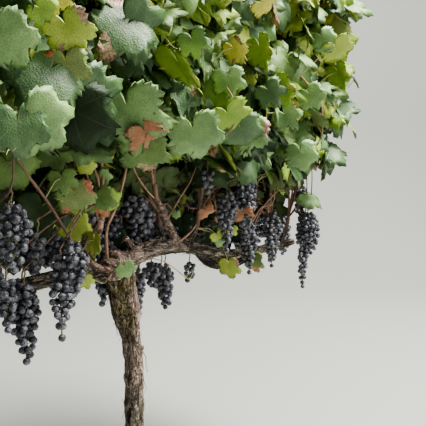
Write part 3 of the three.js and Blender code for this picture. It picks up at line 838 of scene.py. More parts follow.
def fused_skin(name, shells, grain):
    """One closed skin round several shells that run into each other."""
    points, faces = [], []
    for shell_points, shell_faces in shells:
        start = len(points)
        points += shell_points
        faces += [[start + i for i in face] for face in shell_faces]
    body = new_mesh(name, points, faces)
    face_out(body)
    return with_modifier(new_piece(name, body), "REMESH", mode="VOXEL", voxel_size=grain)


def run_along(paths, places):
    """For each place: how far along the nearest path, the angle round it, and which path it is."""
    rows = []
    for index, path in enumerate(paths):
        along, last = 0.0, None
        for centre, tangent, across, other in path.frames(PATH_SAMPLES):
            along += (centre - last).length if last is not None else 0.0
            last = centre
            rows.append((*centre, *across, *other, along, index))
    table = np.array(rows)
    found = np.empty((len(places), 3))
    for start in range(0, len(places), BATCH):
        part = places[start:start + BATCH]
        gaps = ((part[:, None, :] - table[None, :, 0:3]) ** 2).sum(axis=2)
        nearest = table[gaps.argmin(axis=1)]
        out = part - nearest[:, 0:3]
        angle = np.arctan2((out * nearest[:, 6:9]).sum(axis=1), (out * nearest[:, 3:6]).sum(axis=1))
        found[start:start + BATCH] = np.stack((nearest[:, 9], angle, nearest[:, 10]), axis=1)
    return found


def bark_relief(mesh, paths, depth, string, girth, marks, curl=0.0):
    """Push a skin's points by strings of bark, cracks and fibres that run along the limb, note them
    for the material, and cut the foot flat at the ground.

    string is a string's width and length, girth the limb's radius for the pattern, and marks gives
    (moss, rose, calm, and a painted shade) at a place: calm flattens the relief, and the painted shade
    darkens the wood. curl is the least share of curly cracks, which moss brings up to 1."""
    places, outward = vectors_of(mesh, "co"), vectors_of(mesh, "normal")
    count = len(places)
    found = run_along(paths, places)
    width, length = string
    crack, tone, moss, rose, push = (np.zeros(count) for _ in range(5))
    for i in range(count):
        along, angle, which = found[i]
        moss[i], rose[i], calm, painted_shade = marks(places[i], along, angle, which)
        shift = Vector((math.cos(angle) * 1.3, math.sin(angle) * 1.3, along / 0.045 + which * 7))
        turn = angle + 0.5 * noise.noise(shift)
        lane = Vector((math.cos(turn) * girth, math.sin(turn) * girth, 0))
        run = along + 0.008 * noise.noise(shift * 3) + which * 0.7
        long_crack = abs(noise.noise(lane / width + UP * (run / length)))
        fine_crack = abs(noise.noise(lane / (0.45 * width) + UP * (run / (0.5 * length) + 3)))
        break_line = abs(noise.noise(lane / (2.5 * width) + UP * (run / (1.2 * width) + 8)))
        curly = max(curl, smooth(0.1, 0.6, moss[i]))
        if curly > 0:
            warp = noise.noise_vector(Vector(places[i]) / 0.016) * 0.9
            spot = lane / (0.9 * width) + UP * (run / (1.9 * width)) + warp
            long_crack = mix(long_crack, abs(noise.noise(spot)), curly)
            fine_crack = mix(fine_crack, abs(noise.noise(spot * 2.1 + UP * 4)), curly)
        open_crack = smooth(0.01, 0.16, long_crack)
        open_fine = smooth(0.0, 0.22, fine_crack)
        open_break = smooth(0.0, 0.10, break_line)
        body = open_crack * (0.45 + 0.55 * open_fine) * (0.6 + 0.4 * open_break)
        plates = noise.noise(lane / (1.6 * width) + UP * (run / (1.1 * length) + 5))
        tone[i] = 0.5 + 0.9 * plates + 0.25 * (open_fine - 0.5)
        lumps = noise.fractal(Vector(places[i]) / 0.017, 0.9, 2.2, 2)
        raised = body * (0.8 + 0.9 * plates) - 0.55
        push[i] = depth * (raised * (1 - 0.75 * calm) + 0.55 * lumps)
        # Undersides get painted shade too.
        painted_shade = max(painted_shade, 0.5 * smooth(0.3, 0.95, -outward[i][2]))
        # Dark in the cracks, partly the wood's own dark and partly painted shade in the recesses, and
        # darker still by the painted shade.
        crack[i] = mix(body, 1.0, 0.6 * calm) * (1 - 0.8 * painted_shade)
    places += outward * push[:, None]
    places[places[:, 2] < FOOT_CUT, 2] = 0.0
    mesh.vertices.foreach_set("co", places.ravel())
    mark_points(mesh, crack=crack, tone=tone, moss=moss, rose=rose)
    mesh.shade_smooth()
    mesh.update()


def barked(name, shells, grain, relief, bark, slot, solid):
    """A limb's finished piece: its shells fused, given bark's relief, and put in the solid's place."""
    mesh = fused_skin(name, shells, grain)
    bark_relief(mesh, *relief)
    mesh.materials.append(bark)
    piece = new_piece(name, mesh)
    dress(piece, slot, solid)
    return piece


def trunk_radius(t, angle):
    z = TRUNK.at(t).z
    flare = TRUNK_FLARE * math.exp(-z / FLARE_HEIGHT)
    swell = (HEAD_RADIUS - TRUNK_RADIUS) * smooth(STRAIGHT_HEIGHT + 0.05, STRAIGHT_HEIGHT + 0.13, z)
    rings = sum(RING_SWELL * bump(z, height, RING_WIDTH) for height in RING_HEIGHTS)
    ridges = math.sin(3 * angle + z / 0.095) + 0.8 * math.sin(5 * angle - z / 0.070 + 1)
    toes = 0.2 * math.exp(-z / FLARE_HEIGHT) * math.sin(4 * angle + 0.6)
    return (TRUNK_RADIUS + flare + swell + rings) * (1 + RIDGES * ridges + toes)


def trunk_marks(place, along, angle, which):
    """Moss below the head, a bare pinkish strip, a reddish band, and rosy wood at the head."""
    x, y, z = place
    if which > 0:
        return 0.0, 1.0, 0.3, 0.0
    centre = HEAD_LEAN * smooth(0.56, 0.81, z)
    drift = 0.35 * noise.noise(Vector((x, y, z)) / 0.03)
    facing = math.cos(math.atan2(y, x - centre) + 2.0) + drift
    moss = (smooth(0.59, 0.70, z + 0.05 * drift) * (1 - smooth(0.765, 0.795, z)) *
            smooth(-0.3, 0.7, facing))
    to_right = math.cos(math.atan2(y, x - centre) + 0.95) + drift
    bare = smooth(0.50, 0.85, to_right) * smooth(0.58, 0.63, z) * (1 - smooth(0.71, 0.77, z))
    rose = max(0.95 * bare, 0.45 * bump(z, 0.55, 0.05), 0.85 * smooth(0.78, 0.80, z))
    return 0.85 * moss * (1 - bare), rose, 0.5 * rose, 0.0


def build_trunk(bark):
    head = Vector((HEAD_LEAN - 0.003, 0.002, HEAD_HEIGHT - 0.002))
    shells = [
        tube(TRUNK, trunk_radius, 48, 150),
        knot(head, HEAD_RADIUS + 0.002, 0.86),
        knot(head + Vector((-0.026, -0.020, -0.014)), 0.020),
        knot(head + Vector((-0.012, -0.022, -0.026)), 0.010),
    ]
    draw = seeded(SEED + HEAD_SEED)
    for _ in range(HEAD_KNOBS):
        turn, rise, out = 2 * math.pi * draw(), draw(), 0.9 + 0.18 * draw()
        flat = HEAD_RADIUS * out * (1 - 0.35 * abs(rise - 0.5))
        spot = head + Vector((math.cos(turn) * flat, math.sin(turn) * flat, (rise - 0.42) * 0.058))
        shells.append(knot(spot, 0.0045 + 0.0055 * draw()))
    shells.append(knot((0.003, -0.015, 0.584), 0.008))
    torn = Path((-0.112, -0.026, 0.824), (-0.104, -0.045, 0.815), (-0.080, -0.052, 0.800))
    shells.append(tube(torn, lambda t, angle: 0.0075 - 0.0045 * t + 0.0012 * math.sin(3 * angle),
                       12, 12))
    relief = ([TRUNK, torn], TRUNK_RELIEF, TRUNK_STRINGS, TRUNK_GIRTH, trunk_marks, 0.4)
    return barked("trunk_bark", shells, TRUNK_GRAIN, relief, bark, "bark", "trunk")


def arm_shell(path, radius):
    def rule(t, angle):
        gnarl = 0.06 * math.sin(11 * t + 2 * angle) + 0.05 * math.sin(23 * t - 3 * angle + 1)
        return mix(radius, ARM_TIP_RADIUS, t ** 1.2) * (1 + gnarl)
    return tube(path, rule, 20, 90)


def spur_shell(path, thick=SPUR_RADIUS):
    def rule(t, angle):
        return mix(thick, SPUR_TIP_RADIUS, t) * (1 + 0.1 * math.sin(9 * t + 2 * angle))
    return tube(path, rule, 16, 24)


def arm_marks(place, along, angle, which):
    """Rosy wood at the start of the arm and its old spurs, painted shade on the under limb and left
    arm.
    """
    x, _, z = place
    if x > HEAD_LEAN and which in (2, 3):
        return 0.0, 0.55 + 0.4 * (which == 3) * smooth(0.850, 0.870, z), 0.2, 0.0
    if x > HEAD_LEAN:
        painted_shade = 0.9 * (which == 1)
    else:
        painted_shade = 0.8 - 0.3 * smooth(0.06, 0.14, HEAD_LEAN - x)
    return 0.0, 0.5 * (1 - smooth(0.0, 0.12, abs(x - HEAD_LEAN - 0.02))), 0.0, painted_shade


def build_arms(bark):
    carried = [mass[3] for mass in MASSES if mass[3] not in (CURLED, OLD_SPUR)]
    right = [path for path in carried if path.points[0].x > HEAD_LEAN]
    left = [path for path in carried if path.points[0].x <= HEAD_LEAN]
    relief = (ARM_RELIEF, ARM_STRINGS, ARM_GIRTH, arm_marks)

    def under_rule(t, angle):
        return UNDER_LIMB_RADIUS * (0.75 + 0.35 * math.sin(math.pi * t))

    shells = [arm_shell(ARM_RIGHT, ARM_RIGHT_RADIUS), tube(UNDER_LIMB, under_rule, 20, 50),
              spur_shell(OLD_SPUR, 0.012), spur_shell(BROKEN_SPUR, 0.008)]
    shells += [spur_shell(path) for path in right]
    draw = seeded(SEED + ARM_SEED)
    for _ in range(ARM_KNOBS):
        path = ARM_RIGHT if draw() < 0.7 else OLD_SPUR
        t, turn = 0.45 * draw() ** 1.4 if path is ARM_RIGHT else draw(), 2 * math.pi * draw()
        centre = path.at(t)
        reach = (0.020 if path is ARM_RIGHT else 0.009) * (0.85 + 0.2 * draw())
        spot = centre + Vector((0, math.cos(turn) * reach, math.sin(turn) * reach))
        shells.append(knot(spot, 0.004 + 0.005 * draw()))
    paths = [ARM_RIGHT, UNDER_LIMB, OLD_SPUR, BROKEN_SPUR, *right]
    right_arm = barked("arm_right_bark", shells, ARM_GRAIN, (paths, *relief), bark, "bark", "arm_right")

    shells = [arm_shell(ARM_LEFT, ARM_LEFT_RADIUS)] + [spur_shell(path) for path in left]
    paths = [ARM_LEFT, *left]
    barked("arm_left_bark", shells, ARM_GRAIN, (paths, *relief), bark, "bark", "arm_left")
    return right_arm


def curled_marks(place, along, angle, which):
    """Young bark, smoother than the rest."""
    return 0.0, 0.0, 0.85, 0.0


def build_curled_spur(bark):
    def rule(t, angle):
        return 0.0074 + 0.0045 * bump(t, 0.86, 0.07) + 0.0006 * math.sin(14 * t + 3 * angle)
    shells = [tube(CURLED, rule, 20, 80)]
    draw = seeded(SEED + CURLED_SEED)
    for _ in range(CURLED_KNOBS):
        spot = CURLED.at(0.72 + 0.24 * draw()) + stray(draw) * 0.020
        shells.append(knot(spot, 0.003 + 0.003 * draw()))
    relief = ([CURLED], CURLED_RELIEF, CURLED_STRINGS, CURLED_GIRTH, curled_marks)
    barked("curled_spur_bark", shells, CURLED_GRAIN, relief, bark, "young_bark", "curled_spur")


# Shoots: canes fan out from each stem's fork as in the solids, then carry finer shoots and leaves

class Growth:
    """Everything that grows on the limbs: lines of wood, leaves and berries, gathered by kind."""

    def __init__(self):
        self.lines = {}
        self.leaves = {}
        self.berries = []

    def line(self, kind, points, radii):
        self.lines.setdefault(kind, []).append((points, radii))

    def stalk(self, root, middle, end, foot):
        """A leaf's stalk, thicker at its foot and thinner at the blade."""
        self.line("green_stalks", [root, middle, end],
                  [STALK_RADIUS * foot, STALK_RADIUS, STALK_RADIUS * 0.9])

    def leaf(self, colour, shape, place, midrib, facing, size):
        across = midrib.cross(facing).normalized()
        turn = turn_of(across, facing.cross(across).normalized(), facing)
        self.leaves.setdefault(colour, []).append((place, turn, size, shape))


def edge_at(mass, order, side, height):
    _, face, edges, _, _ = mass
    x = edges[side]
    if x in (CROWN_LEFT, CROWN_RIGHT):
        return x
    return x - face * EDGE_LEANS[order % FRONT_MASSES + side] * (height - CROWN_LEAN_HEIGHT)


def grow_canes(mass, order, random):
    """The lines of a mass's canes, from the stem's fork up to the crown's top."""
    _, face, edges, carrier, _ = mass
    onward = carrier.tangent(1)
    foot = carrier.at(1) + onward * CLEAR
    fork = foot + onward * STEM_RUN + UP * STEM_RISE
    count = round((edges[1] - edges[0]) / CANE_SPACING)
    canes = []
    for k in range(count):
        share = 0.5 + ((k + 0.5) / count - 0.5) * CANE_SPREAD + (random() - 0.5) * 0.12
        top = CROWN_TOP - 0.060 - 0.130 * random()
        across = mix(edge_at(mass, order, 0, top), edge_at(mass, order, 1, top), share)
        target = Vector((across, face * (0.018 + 0.066 * random()), top))
        bow_x = (random() - 0.5) * 0.030
        bow_y = face * (0.008 + 0.024 * random())
        points = []
        for i in range(CANE_STEPS + 1):
            t = i / CANE_STEPS
            point = fork.lerp(target, t)
            point.x = mix(fork.x, target.x, smooth(0, 0.5, t)) + bow_x * math.sin(math.pi * t)
            point.y += bow_y * math.sin(math.pi * t)
            if i > 0:
                point.x += (random() - 0.5) * 0.018
                point.y += (random() - 0.5) * 0.018
            points.append(point)
        canes.append(points)
    return foot, fork, canes


def wall_foot(x, face):
    """The height down to which leaf tips hang: lower along the longer arm and at the back."""
    ragged = 0.02 * math.sin(x * 19 + 1) + 0.015 * math.sin(x * 47)
    return (0.84 if face > 0 else mix(1.045, 0.965, smooth(0.10, 0.40, x))) + ragged


def colour_of(place, young, draw):
    """A leaf's colour group, dealt out by where it grows. More dark greens low down and to the left
    and more pale ones to the right are painted light and shade over the crown; the brighter greens
    at the top and on young shoots are partly their own colour and partly painted light.
    """
    high = smooth(1.10, 1.55, place.z)
    right = smooth(-0.10, 0.50, place.x)
    shares = {
        "sage": 0.30 - 0.08 * high,
        "pale": 0.13 + 0.20 * right,
        "deep": 0.22 - 0.06 * high - 0.14 * right,
        "shade": 0.08 - 0.07 * high,
        "mid": 0.17,
        "bright": 0.06 + 0.12 * high + 0.10 * young,
        "lime": 0.02 + 0.07 * high + 0.14 * young,
        "yellow": 0.008 + 0.012 * high,
        "russet": 0.018,
        "dry": 0.006,
    }
    pick = draw() * sum(shares.values())
    for colour, share in shares.items():
        pick -= share
        if pick <= 0:
            return colour
    return "mid"


def shape_of(colour, draw):
    """Which leaf shape: mostly sound ones, some withered at the margin, and a rolled one when dry."""
    if colour == "dry":
        return SOUND_SHAPES + DRY_SHAPE
    if colour == "russet" or draw() < WITHERED_SHARE:
        return SOUND_SHAPES + WITHERED_SHAPES[int(draw() * 2)]
    return int(draw() * SOUND_SHAPES)


def within_crown(spot, gap):
    """Whether a place is at least a gap away from the crown's ends, front and back."""
    return (CROWN_LEFT + gap < spot.x < CROWN_RIGHT - gap and
            CROWN_FRONT + gap < spot.y < CROWN_BACK - gap)


def fits(place, tip, across, length, low):
    """Whether a blade stays within the crown, and out of the way of the chosen leaves."""
    if not low and tip.z < wall_foot(tip.x, -1 if place.y < -0.02 else 1):
        return False
    for spot in (place, tip, place + across * (length * 0.8), place - across * (length * 0.8)):
        if spot.z >= CROWN_TOP or not within_crown(spot, EDGE_GAP):
            return False
    middle = place.lerp(tip, 0.5)
    return not any((middle - chosen).length < 0.45 * size + 0.5 * length and
                   middle.y < chosen.y + 0.03 for chosen, size in CHOSEN_SPOTS)


def hang_leaf(growth, root, face, turn, size, draw, colour=None, young=0.0, low=False):
    """One leaf: its stalk reaches out of the shoot, its blade hangs from it and looks outwards."""
    sway = (draw() - 0.5) * 2.5 - 0.3 * (face < 0)
    out = Vector((0, face, 0))
    out.rotate(Matrix.Rotation(sway, 3, "Z"))
    reach = STALK_LENGTH * (0.45 + 0.75 * draw()) * (0.5 + 0.5 * size)
    stalk = (out * 0.75 + Vector((turn * 0.5, 0, 0.15 + 0.6 * draw()))).normalized()
    notch = root + stalk * reach
    high = smooth(CROWN_TOP - 0.3, CROWN_TOP, notch.z)
    tilt = mix(0.05 + 1.0 * draw() ** 1.3, 1.25, high * draw())
    facing = (out * math.cos(tilt) + UP * math.sin(tilt)).normalized()
    midrib = (-UP + facing * facing.z).normalized()
    midrib.rotate(Matrix.Rotation((draw() - 0.5) * 1.6, 3, facing))
    length = LEAF_LENGTH * size
    if not fits(notch, notch + midrib * length, midrib.cross(facing), length, low):
        return False
    middle = root.lerp(notch, 0.55) + UP * reach * 0.12
    growth.stalk(root, middle, notch - facing * 0.002, 1.3)
    colour = colour or colour_of(notch, young, draw)
    growth.leaf(colour, shape_of(colour, draw), notch, midrib, facing, length)
    return True


def grow_tendril(growth, root, out, draw):
    """A thin curling thread."""
    steps = 15
    curl = 0.006 + 0.006 * draw()
    points = []
    for i in range(steps + 1):
        t = i / steps
        turn = 9 * t * t
        points.append(root + out * (0.07 * t) + UP * (curl * math.sin(turn) * t) +
                      Vector((curl * math.cos(turn) * t, 0, -0.02 * t * t)))
    growth.line("green_stalks", points, taper(0.0010, 0.0005, steps))


def grow_side_shoot(growth, root, face, turn, draw):
    """A short green shoot out of a cane's node, with a few small leaves and sometimes a tendril."""
    length = 0.05 + 0.12 * draw()
    out = Vector((turn * (0.3 + 0.6 * draw()), face * (0.5 + 0.5 * draw()), 0.1 + 0.7 * draw()))
    out.normalize()
    points = []
    for i in range(5):
        t = i / 4
        points.append(root + out * (length * t) - UP * (0.035 * t * t) +
                      Vector((draw() - 0.5, draw() - 0.5, 0)) * 0.008 * t)
    if not within_crown(points[-1], 0.02):
        return
    growth.line("green_stalks", points, [0.0019, 0.0017, 0.0015, 0.0013, 0.0010])
    for i, share in enumerate((1.2, 1.15, 1.0, 0.62), 1):
        size = share * (0.85 + 0.3 * draw())
        hang_leaf(growth, points[i], face, 1 if i % 2 else -1, size, draw, young=i / 4)
    if draw() < TENDRIL_SHARE:
        grow_tendril(growth, points[3], Vector((out.x, out.y, -0.3)).normalized(), draw)


def grow_chosen(growth):
    """The leaves and canes that the photograph shows best."""
    wood = [point for kind in ("brown_canes", "tan_canes") for line, _ in growth.lines.get(kind, [])
            for point in line]
    for kind, thick, points in CHOSEN_CANES:
        line = Path(*(metres(*point) for point in points)).line(24)
        radii = taper(thick / 1000, thick / 1000 * 0.7, 24)
        growth.line(kind, line, [radius * (1 + 0.35 * bump(i % 6, 3, 0.8))
                                 for i, radius in enumerate(radii)])
        wood += line
    for colour, shape, notch, tip, roll in CHOSEN_LEAVES:
        midrib = (tip - notch).normalized()
        facing = CAMERA_PLACE - notch
        facing = (facing - midrib * facing.dot(midrib)).normalized()
        facing.rotate(Matrix.Rotation(math.radians(roll), 3, midrib))
        length = (tip - notch).length * CHOSEN_SCALE
        growth.leaf(colour, SOUND_SHAPES + shape, notch, midrib, facing, length)
        root = min(wood, key=lambda point: (point - notch).length)
        growth.stalk(root, root.lerp(notch, 0.6) + UP * 0.01, notch - facing * 0.002, 1.2)


def grow_low_shoots(growth, canes, draw):
    """Leafy shoots that spread along the row behind the bunches, low at the back of the crown."""
    for cane in canes:
        path = Path(*cane)
        for side in (-1, 1):
            root = path.at(0.02 + 0.14 * draw())
            reach = Vector((side * (0.07 + 0.13 * draw()), 0.01 + 0.05 * draw(), 0.10 * draw()))
            line = Path(root, root + reach * 0.5 + UP * 0.02, root + reach).line(8)
            growth.line("brown_canes", line, taper(0.0022, 0.0013, 8))
            for i in (2, 4, 5, 6, 7, 8):
                # Mostly near-black shade and deep leaves: painted shade low at the back of the crown.
                colour = next((kind for kind, share in (("shade", 0.5), ("deep", 0.6), ("mid", 0.6))
                               if draw() < share), "bright")
                size = 0.8 + 0.5 * draw()
                hang_leaf(growth, line[i], 1, 1 if i % 2 else -1, size, draw, colour, low=True)


def cane_line(points):
    """A cane's smooth line with a slight turn and a swelling at each node."""
    path = Path(*points)
    samples = CANE_NODES * 4
    line, radii = [], []
    for i in range(samples + 1):
        t = i / samples
        node_share = t * CANE_NODES
        nearest = round(node_share)
        swelling = bump(node_share, nearest, 0.12)
        zigzag = 0.0025 * (1 if nearest % 2 else -1) * bump(node_share, nearest, 0.3)
        line.append(path.at(t) + Vector((zigzag, 0, 0)))
        radii.append(mix(CANE_RADIUS, CANE_TIP_RADIUS, t) * (1 + 0.35 * swelling))
    return line, radii


# A bunch's outline: how far down it, and how wide there
BUNCH_PROFILE = ((0, 0.35), (0.06, 0.7), (0.26, 1), (0.5, 0.9), (0.82, 0.56), (1, 0.12))


def grow_bunch(growth, bunch, fork, face, draw):
    """A bunch: berries packed into a lumpy drop round its stalk, which hangs from a cane of its own."""
    x, y, top, length, radius = bunch
    hook = Vector((x, y, top + 0.008))
    droops = top + 0.025 < fork.z
    over = Vector((x, y, top + 0.025))
    bends = [fork, fork.lerp(over, 0.5) + UP * 0.020, over]
    if not droops:
        bends.append(Vector((x + 0.10 * (draw() - 0.5), face * (abs(y) * 0.6 + 0.02), over.z + 0.30)))
    growth.line("brown_canes" if droops or draw() < BROWN_SHARE else "tan_canes", Path(*bends).line(20),
                taper(0.0030, 0.0016, 20))
    stalk = Path(over, over.lerp(hook, 0.5) + Vector((0.003, 0, 0)), hook, (x, y, top - length * 0.97))
    growth.line("bunch_stalks", stalk.line(12), taper(0.0018, 0.0018, 12))
    downs, wides = zip(*BUNCH_PROFILE)
    placed = []
    for _ in range(int(BERRY_TRIES * length * radius)):
        down = draw()
        wide = float(np.interp(down, downs, wides)) * radius - BERRY_RADIUS * 0.6
        angle = 2 * math.pi * draw()
        lump = 0.90 + 0.12 * math.sin(2 * angle - down * length / 0.030 + x * 1000)
        out = max(wide, 0.0) * lump * (draw() ** 0.27)
        spot = Vector((x + out * math.cos(angle), y + out * math.sin(angle),
                       top - 0.004 - down * length))
        size = BERRY_RADIUS * (0.86 + 0.24 * draw())
        if all((spot - other).length > BERRY_SPACING * (size + girth) for other, girth in placed):
            placed.append((spot, size))
            if draw() < 0.3 or down > 0.75:
                axis = Vector((x, y, spot.z + 0.012))
                growth.line("green_stalks", [axis, axis.lerp(spot, 0.5) + UP * 0.003, spot],
                            [0.0009, 0.0008, 0.0011])
    growth.berries += placed


def grow_mass(growth, mass, order):
    random = seeded(SEED + order)
    draw = seeded(SEED + LEAF_SEED + order)
    _, face, _, _, bunches = mass
    foot, fork, canes = grow_canes(mass, order, random)
    growth.line("brown_canes", [foot - (fork - foot) * 0.1, foot.lerp(fork, 0.5), fork],
                [0.0066, 0.0064, 0.0070])
    for cane in canes:
        line, radii = cane_line(cane)
        growth.line("brown_canes" if draw() < BROWN_SHARE else "tan_canes", line, radii)
        path = Path(*cane)
        for k in range(1, CANE_NODES + 1):
            root = path.at(min((k + 0.2 * draw()) / CANE_NODES, 1))
            turn = 1 if k % 2 else -1
            low = root.z < wall_foot(root.x, face) + 0.03
            if low and draw() > (0.12 if face < 0 else 0.4):
                continue
            for _ in range(LEAF_TRIES):
                size = (0.8 if low else 1.0) + 0.5 * draw()
                if hang_leaf(growth, root, face, turn, size, draw, low=low):
                    break
            if root.z > BOTH_SIDES_FROM:
                hang_leaf(growth, root, -face, turn, 0.9 + 0.4 * draw(), draw)
            if not low and draw() < SIDE_SHOOT_SHARE:
                grow_side_shoot(growth, root, face, -turn, draw)
        # Near-black shade and deep leaves close to the canes: painted shade for the crown's dark
        # inside.
        for _ in range(SHADE_LEAVES):
            root = path.at(0.8 * draw() ** 2)
            if root.z > (0.98 if face < 0 else 0.84):
                side = face if face > 0 or draw() < 0.3 else -face
                dark = "shade" if draw() < 0.7 else "deep"
                turn = 1 if draw() < 0.5 else -1
                hang_leaf(growth, root, side, turn, 0.8 + 0.6 * draw(), draw, dark, low=face > 0)
    if face > 0:
        grow_low_shoots(growth, canes, draw)
    for bunch in bunches:
        grow_bunch(growth, metres(*bunch), fork, face, draw)


# Leaves: five-lobed blades, each a thin closed shell with creased veins

# The blade's outline, its angle from the tip and its reach, and the angles of what lies on it
OUTLINE = ((0, 1.00), (12, 0.93), (28, 0.80), (40, 0.86), (52, 0.95), (66, 0.88), (82, 0.74),
           (95, 0.76), (108, 0.79), (122, 0.72), (140, 0.62), (158, 0.46), (171, 0.24), (177, 0.06))
RIM_END = OUTLINE[-1][0]
VEIN_ANGLES = (-106, -52, 0, 52, 106)
FOLD_ANGLES = (-160, -130, -79, -27, 27, 79, 130, 160)
BAND_ANGLES = (-165, -148, -128, -92, -76, -38, -24, 24, 38, 76, 92, 128, 148, 165)
UNDER_ANGLES = (-150, -106, -52, 0, 52, 106, 150)
VEIN_HALF = 0.9
BLADE_THICK = 0.014
# Each leaf shape: how deep its lobes are cut, its waves, fold and curl, and where its margin withers
LEAF_SHAPES = (
    (0.35, 0.10, 0.10, 0.16, ()),
    (0.60, 0.16, 0.22, 0.12, ()),
    (0.15, 0.12, -0.10, 0.26, ()),
    (0.75, 0.09, 0.05, 0.20, ()),
    (0.45, 0.18, 0.30, 0.10, ()),
    (0.25, 0.13, 0.15, 0.30, ()),
    (0.40, 0.14, 0.12, 0.22, ((-24, 36), (96, 150))),
    (0.25, 0.12, 0.20, 0.16, ((-135, -66), (22, 58))),
    (0.50, 0.50, 0.45, 0.60, ((-60, 20), (70, 120))),
)
SOUND_SHAPES = 6
WITHERED_SHAPES = (6, 7)
WITHERED_SHARE = 0.10
DRY_SHAPE = 8
COARSE_TEETH = 9
FINE_TEETH = 15
BLADE, VEIN, UNDER = range(3)


def toothed_rim(lobing, teeth, draw):
    """The blade's outline as (angle, radius), with teeth round both of its halves."""
    angles, radii = zip(*OUTLINE)
    half = []
    for k in range(teeth):
        for share, depth in ((0.0, 0.05), (0.62, -0.05)):
            angle = RIM_END * (k + share + 0.16 * (draw() - 0.5) * (k > 0)) / teeth
            lobes = 1 - lobing * 0.4 * (bump(angle, 28, 9) + 0.8 * bump(angle, 82, 9))
            tooth = 1 + depth * (COARSE_TEETH / teeth) ** 0.5 * (1 - smooth(140, RIM_END, angle))
            half.append((angle, float(np.interp(angle, angles, radii)) * lobes * tooth))
    half.append(OUTLINE[-1])
    left = [(-angle, radius * (0.96 + 0.08 * draw())) for angle, radius in half[:0:-1]]
    return left + half


def kind_between(a, b, kind):
    """A face between two points of one vein is the vein's, and any other is of the given kind."""
    return VEIN if a[2] is not None and a[2] == b[2] else kind


def stitch(faces, kinds, inner, outer, kind):
    """Triangles between two rows of (angle, point number, vein), each row sorted by angle."""
    i = o = 0
    while i < len(inner) - 1 or o < len(outer) - 1:
        next_inner = inner[i + 1][0] if i < len(inner) - 1 else math.inf
        next_outer = outer[o + 1][0] if o < len(outer) - 1 else math.inf
        if next_outer <= next_inner:
            a, b = outer[o], outer[o + 1]
            faces.append((inner[i][1], b[1], a[1]))
            o += 1
        else:
            a, b = inner[i], inner[i + 1]
            faces.append((a[1], b[1], outer[o][1]))
            i += 1
        kinds.append(kind_between(a, b, kind))


def leaf_shape(name, lobing, wave, fold, curl, patches, teeth, seed):
    """A leaf of length 1 along Y from its stalk to its tip, looking up along Z."""
    draw = seeded(seed)
    rim = toothed_rim(lobing, teeth, draw)
    rim_angles, rim_radii = zip(*rim)
    phase = draw() * 6
    points, pleats, dries = [], [], []

    def place(angle, share, lift):
        """A point on the blade, at a share of the way to its rim, and its number."""
        out = share * float(np.interp(angle, rim_angles, rim_radii))
        radians = math.radians(angle)
        waves = wave * out * out * math.sin(3 * radians + phase) * (0.6 + 0.4 * math.cos(5 * radians))
        rise = waves + fold * abs(math.sin(radians)) * out - curl * out * out + lift
        points.append((out * math.sin(radians), out * math.cos(radians), rise))
        away = math.radians(min(abs(angle - vein) for vein in VEIN_ANGLES))
        pleats.append(out * (math.cos(away) - 0.84 * math.sin(away)))
        inside = max((smooth(0, 16, angle - low) * smooth(0, 16, high - angle)
                      for low, high in patches), default=0.0)
        dries.append(inside * smooth(0.4, 1.0, share))
        return len(points) - 1

    def ring(spots):
        return [(angle, place(angle, share, lift), vein)
                for angle, share, lift, vein in sorted(spots, key=lambda spot: spot[0])]

    def beside_veins(half, share, lift):
        return [(vein + side * half, share, lift, vein) for vein in VEIN_ANGLES for side in (-1, 1)]

    faces, kinds = [], []
    top, below = place(0, 0, 0.004), place(0, 0, -BLADE_THICK)
    folds = [(angle, 0.56, 0.018, None) for angle in FOLD_ANGLES]
    rows = [ring(beside_veins(VEIN_HALF, 0.5, -0.010) + folds)]
    if teeth > COARSE_TEETH:
        band = beside_veins(VEIN_HALF * 0.5, 0.78, -0.006)
        band += [(angle, 0.74 + 0.14 * draw(), 0.016 * draw(), None) for angle in BAND_ANGLES]
        rows.append(ring(band))
    rows.append([(angle, place(angle, 1, 0), None) for angle, _ in rim])
    for a, b in zip(rows[0], rows[0][1:]):
        faces.append((top, b[1], a[1]))
        kinds.append(kind_between(a, b, BLADE))
    for inner, outer in zip(rows, rows[1:]):
        stitch(faces, kinds, inner, outer, BLADE)
    under = ring([(angle, 0.5, -BLADE_THICK, None) for angle in UNDER_ANGLES])
    for a, b in zip(under, under[1:]):
        faces.append((below, a[1], b[1]))
        kinds.append(UNDER)
    stitch(faces, kinds, under, rows[-1], UNDER)
    for end in (0, -1):
        edge = [row[end][1] for row in rows]
        corners = [top, *edge, under[end][1], below]
        faces += [(corners[0], corners[k], corners[k + 1]) for k in range(1, len(corners) - 1)]
        kinds += [UNDER] * (len(corners) - 2)
    mesh = new_mesh(name, points, faces)
    for label, kind in (("vein", VEIN), ("under", UNDER)):
        marks = mesh.attributes.new(label, "BOOLEAN", "FACE")
        marks.data.foreach_set("value", [k == kind for k in kinds])
    mark_points(mesh, pleat=pleats, withered=dries)
    face_out(mesh)
    mesh.shade_smooth()
    return mesh


# Geometry node trees: leaves and berries on points, and round stalks along lines

def new_tree(name, *sockets):
    tree = bpy.data.node_groups.new(name, "GeometryNodeTree")
    tree.interface.new_socket("Geometry", in_out="INPUT", socket_type="NodeSocketGeometry")
    for label, kind, value in sockets:
        made = tree.interface.new_socket(label, in_out="INPUT", socket_type=kind)
        if value is not None:
            made.default_value = value
    tree.interface.new_socket("Geometry", in_out="OUTPUT", socket_type="NodeSocketGeometry")
    return tree, tree.nodes.new("NodeGroupInput"), tree.nodes.new("NodeGroupOutput")


def named(tree, name, kind):
    return node(tree, "GeometryNodeInputNamedAttribute", {"Name": name},
                data_type=kind).outputs["Attribute"]


def painted(tree, geometry, material, marked=None):
    """The geometry with a material on it, or only on its faces that carry a mark."""
    inputs = {"Geometry": geometry, "Material": material}
    if marked:
        inputs["Selection"] = named(tree, marked, "BOOLEAN")
    return node(tree, "GeometryNodeSetMaterial", inputs).outputs["Geometry"]


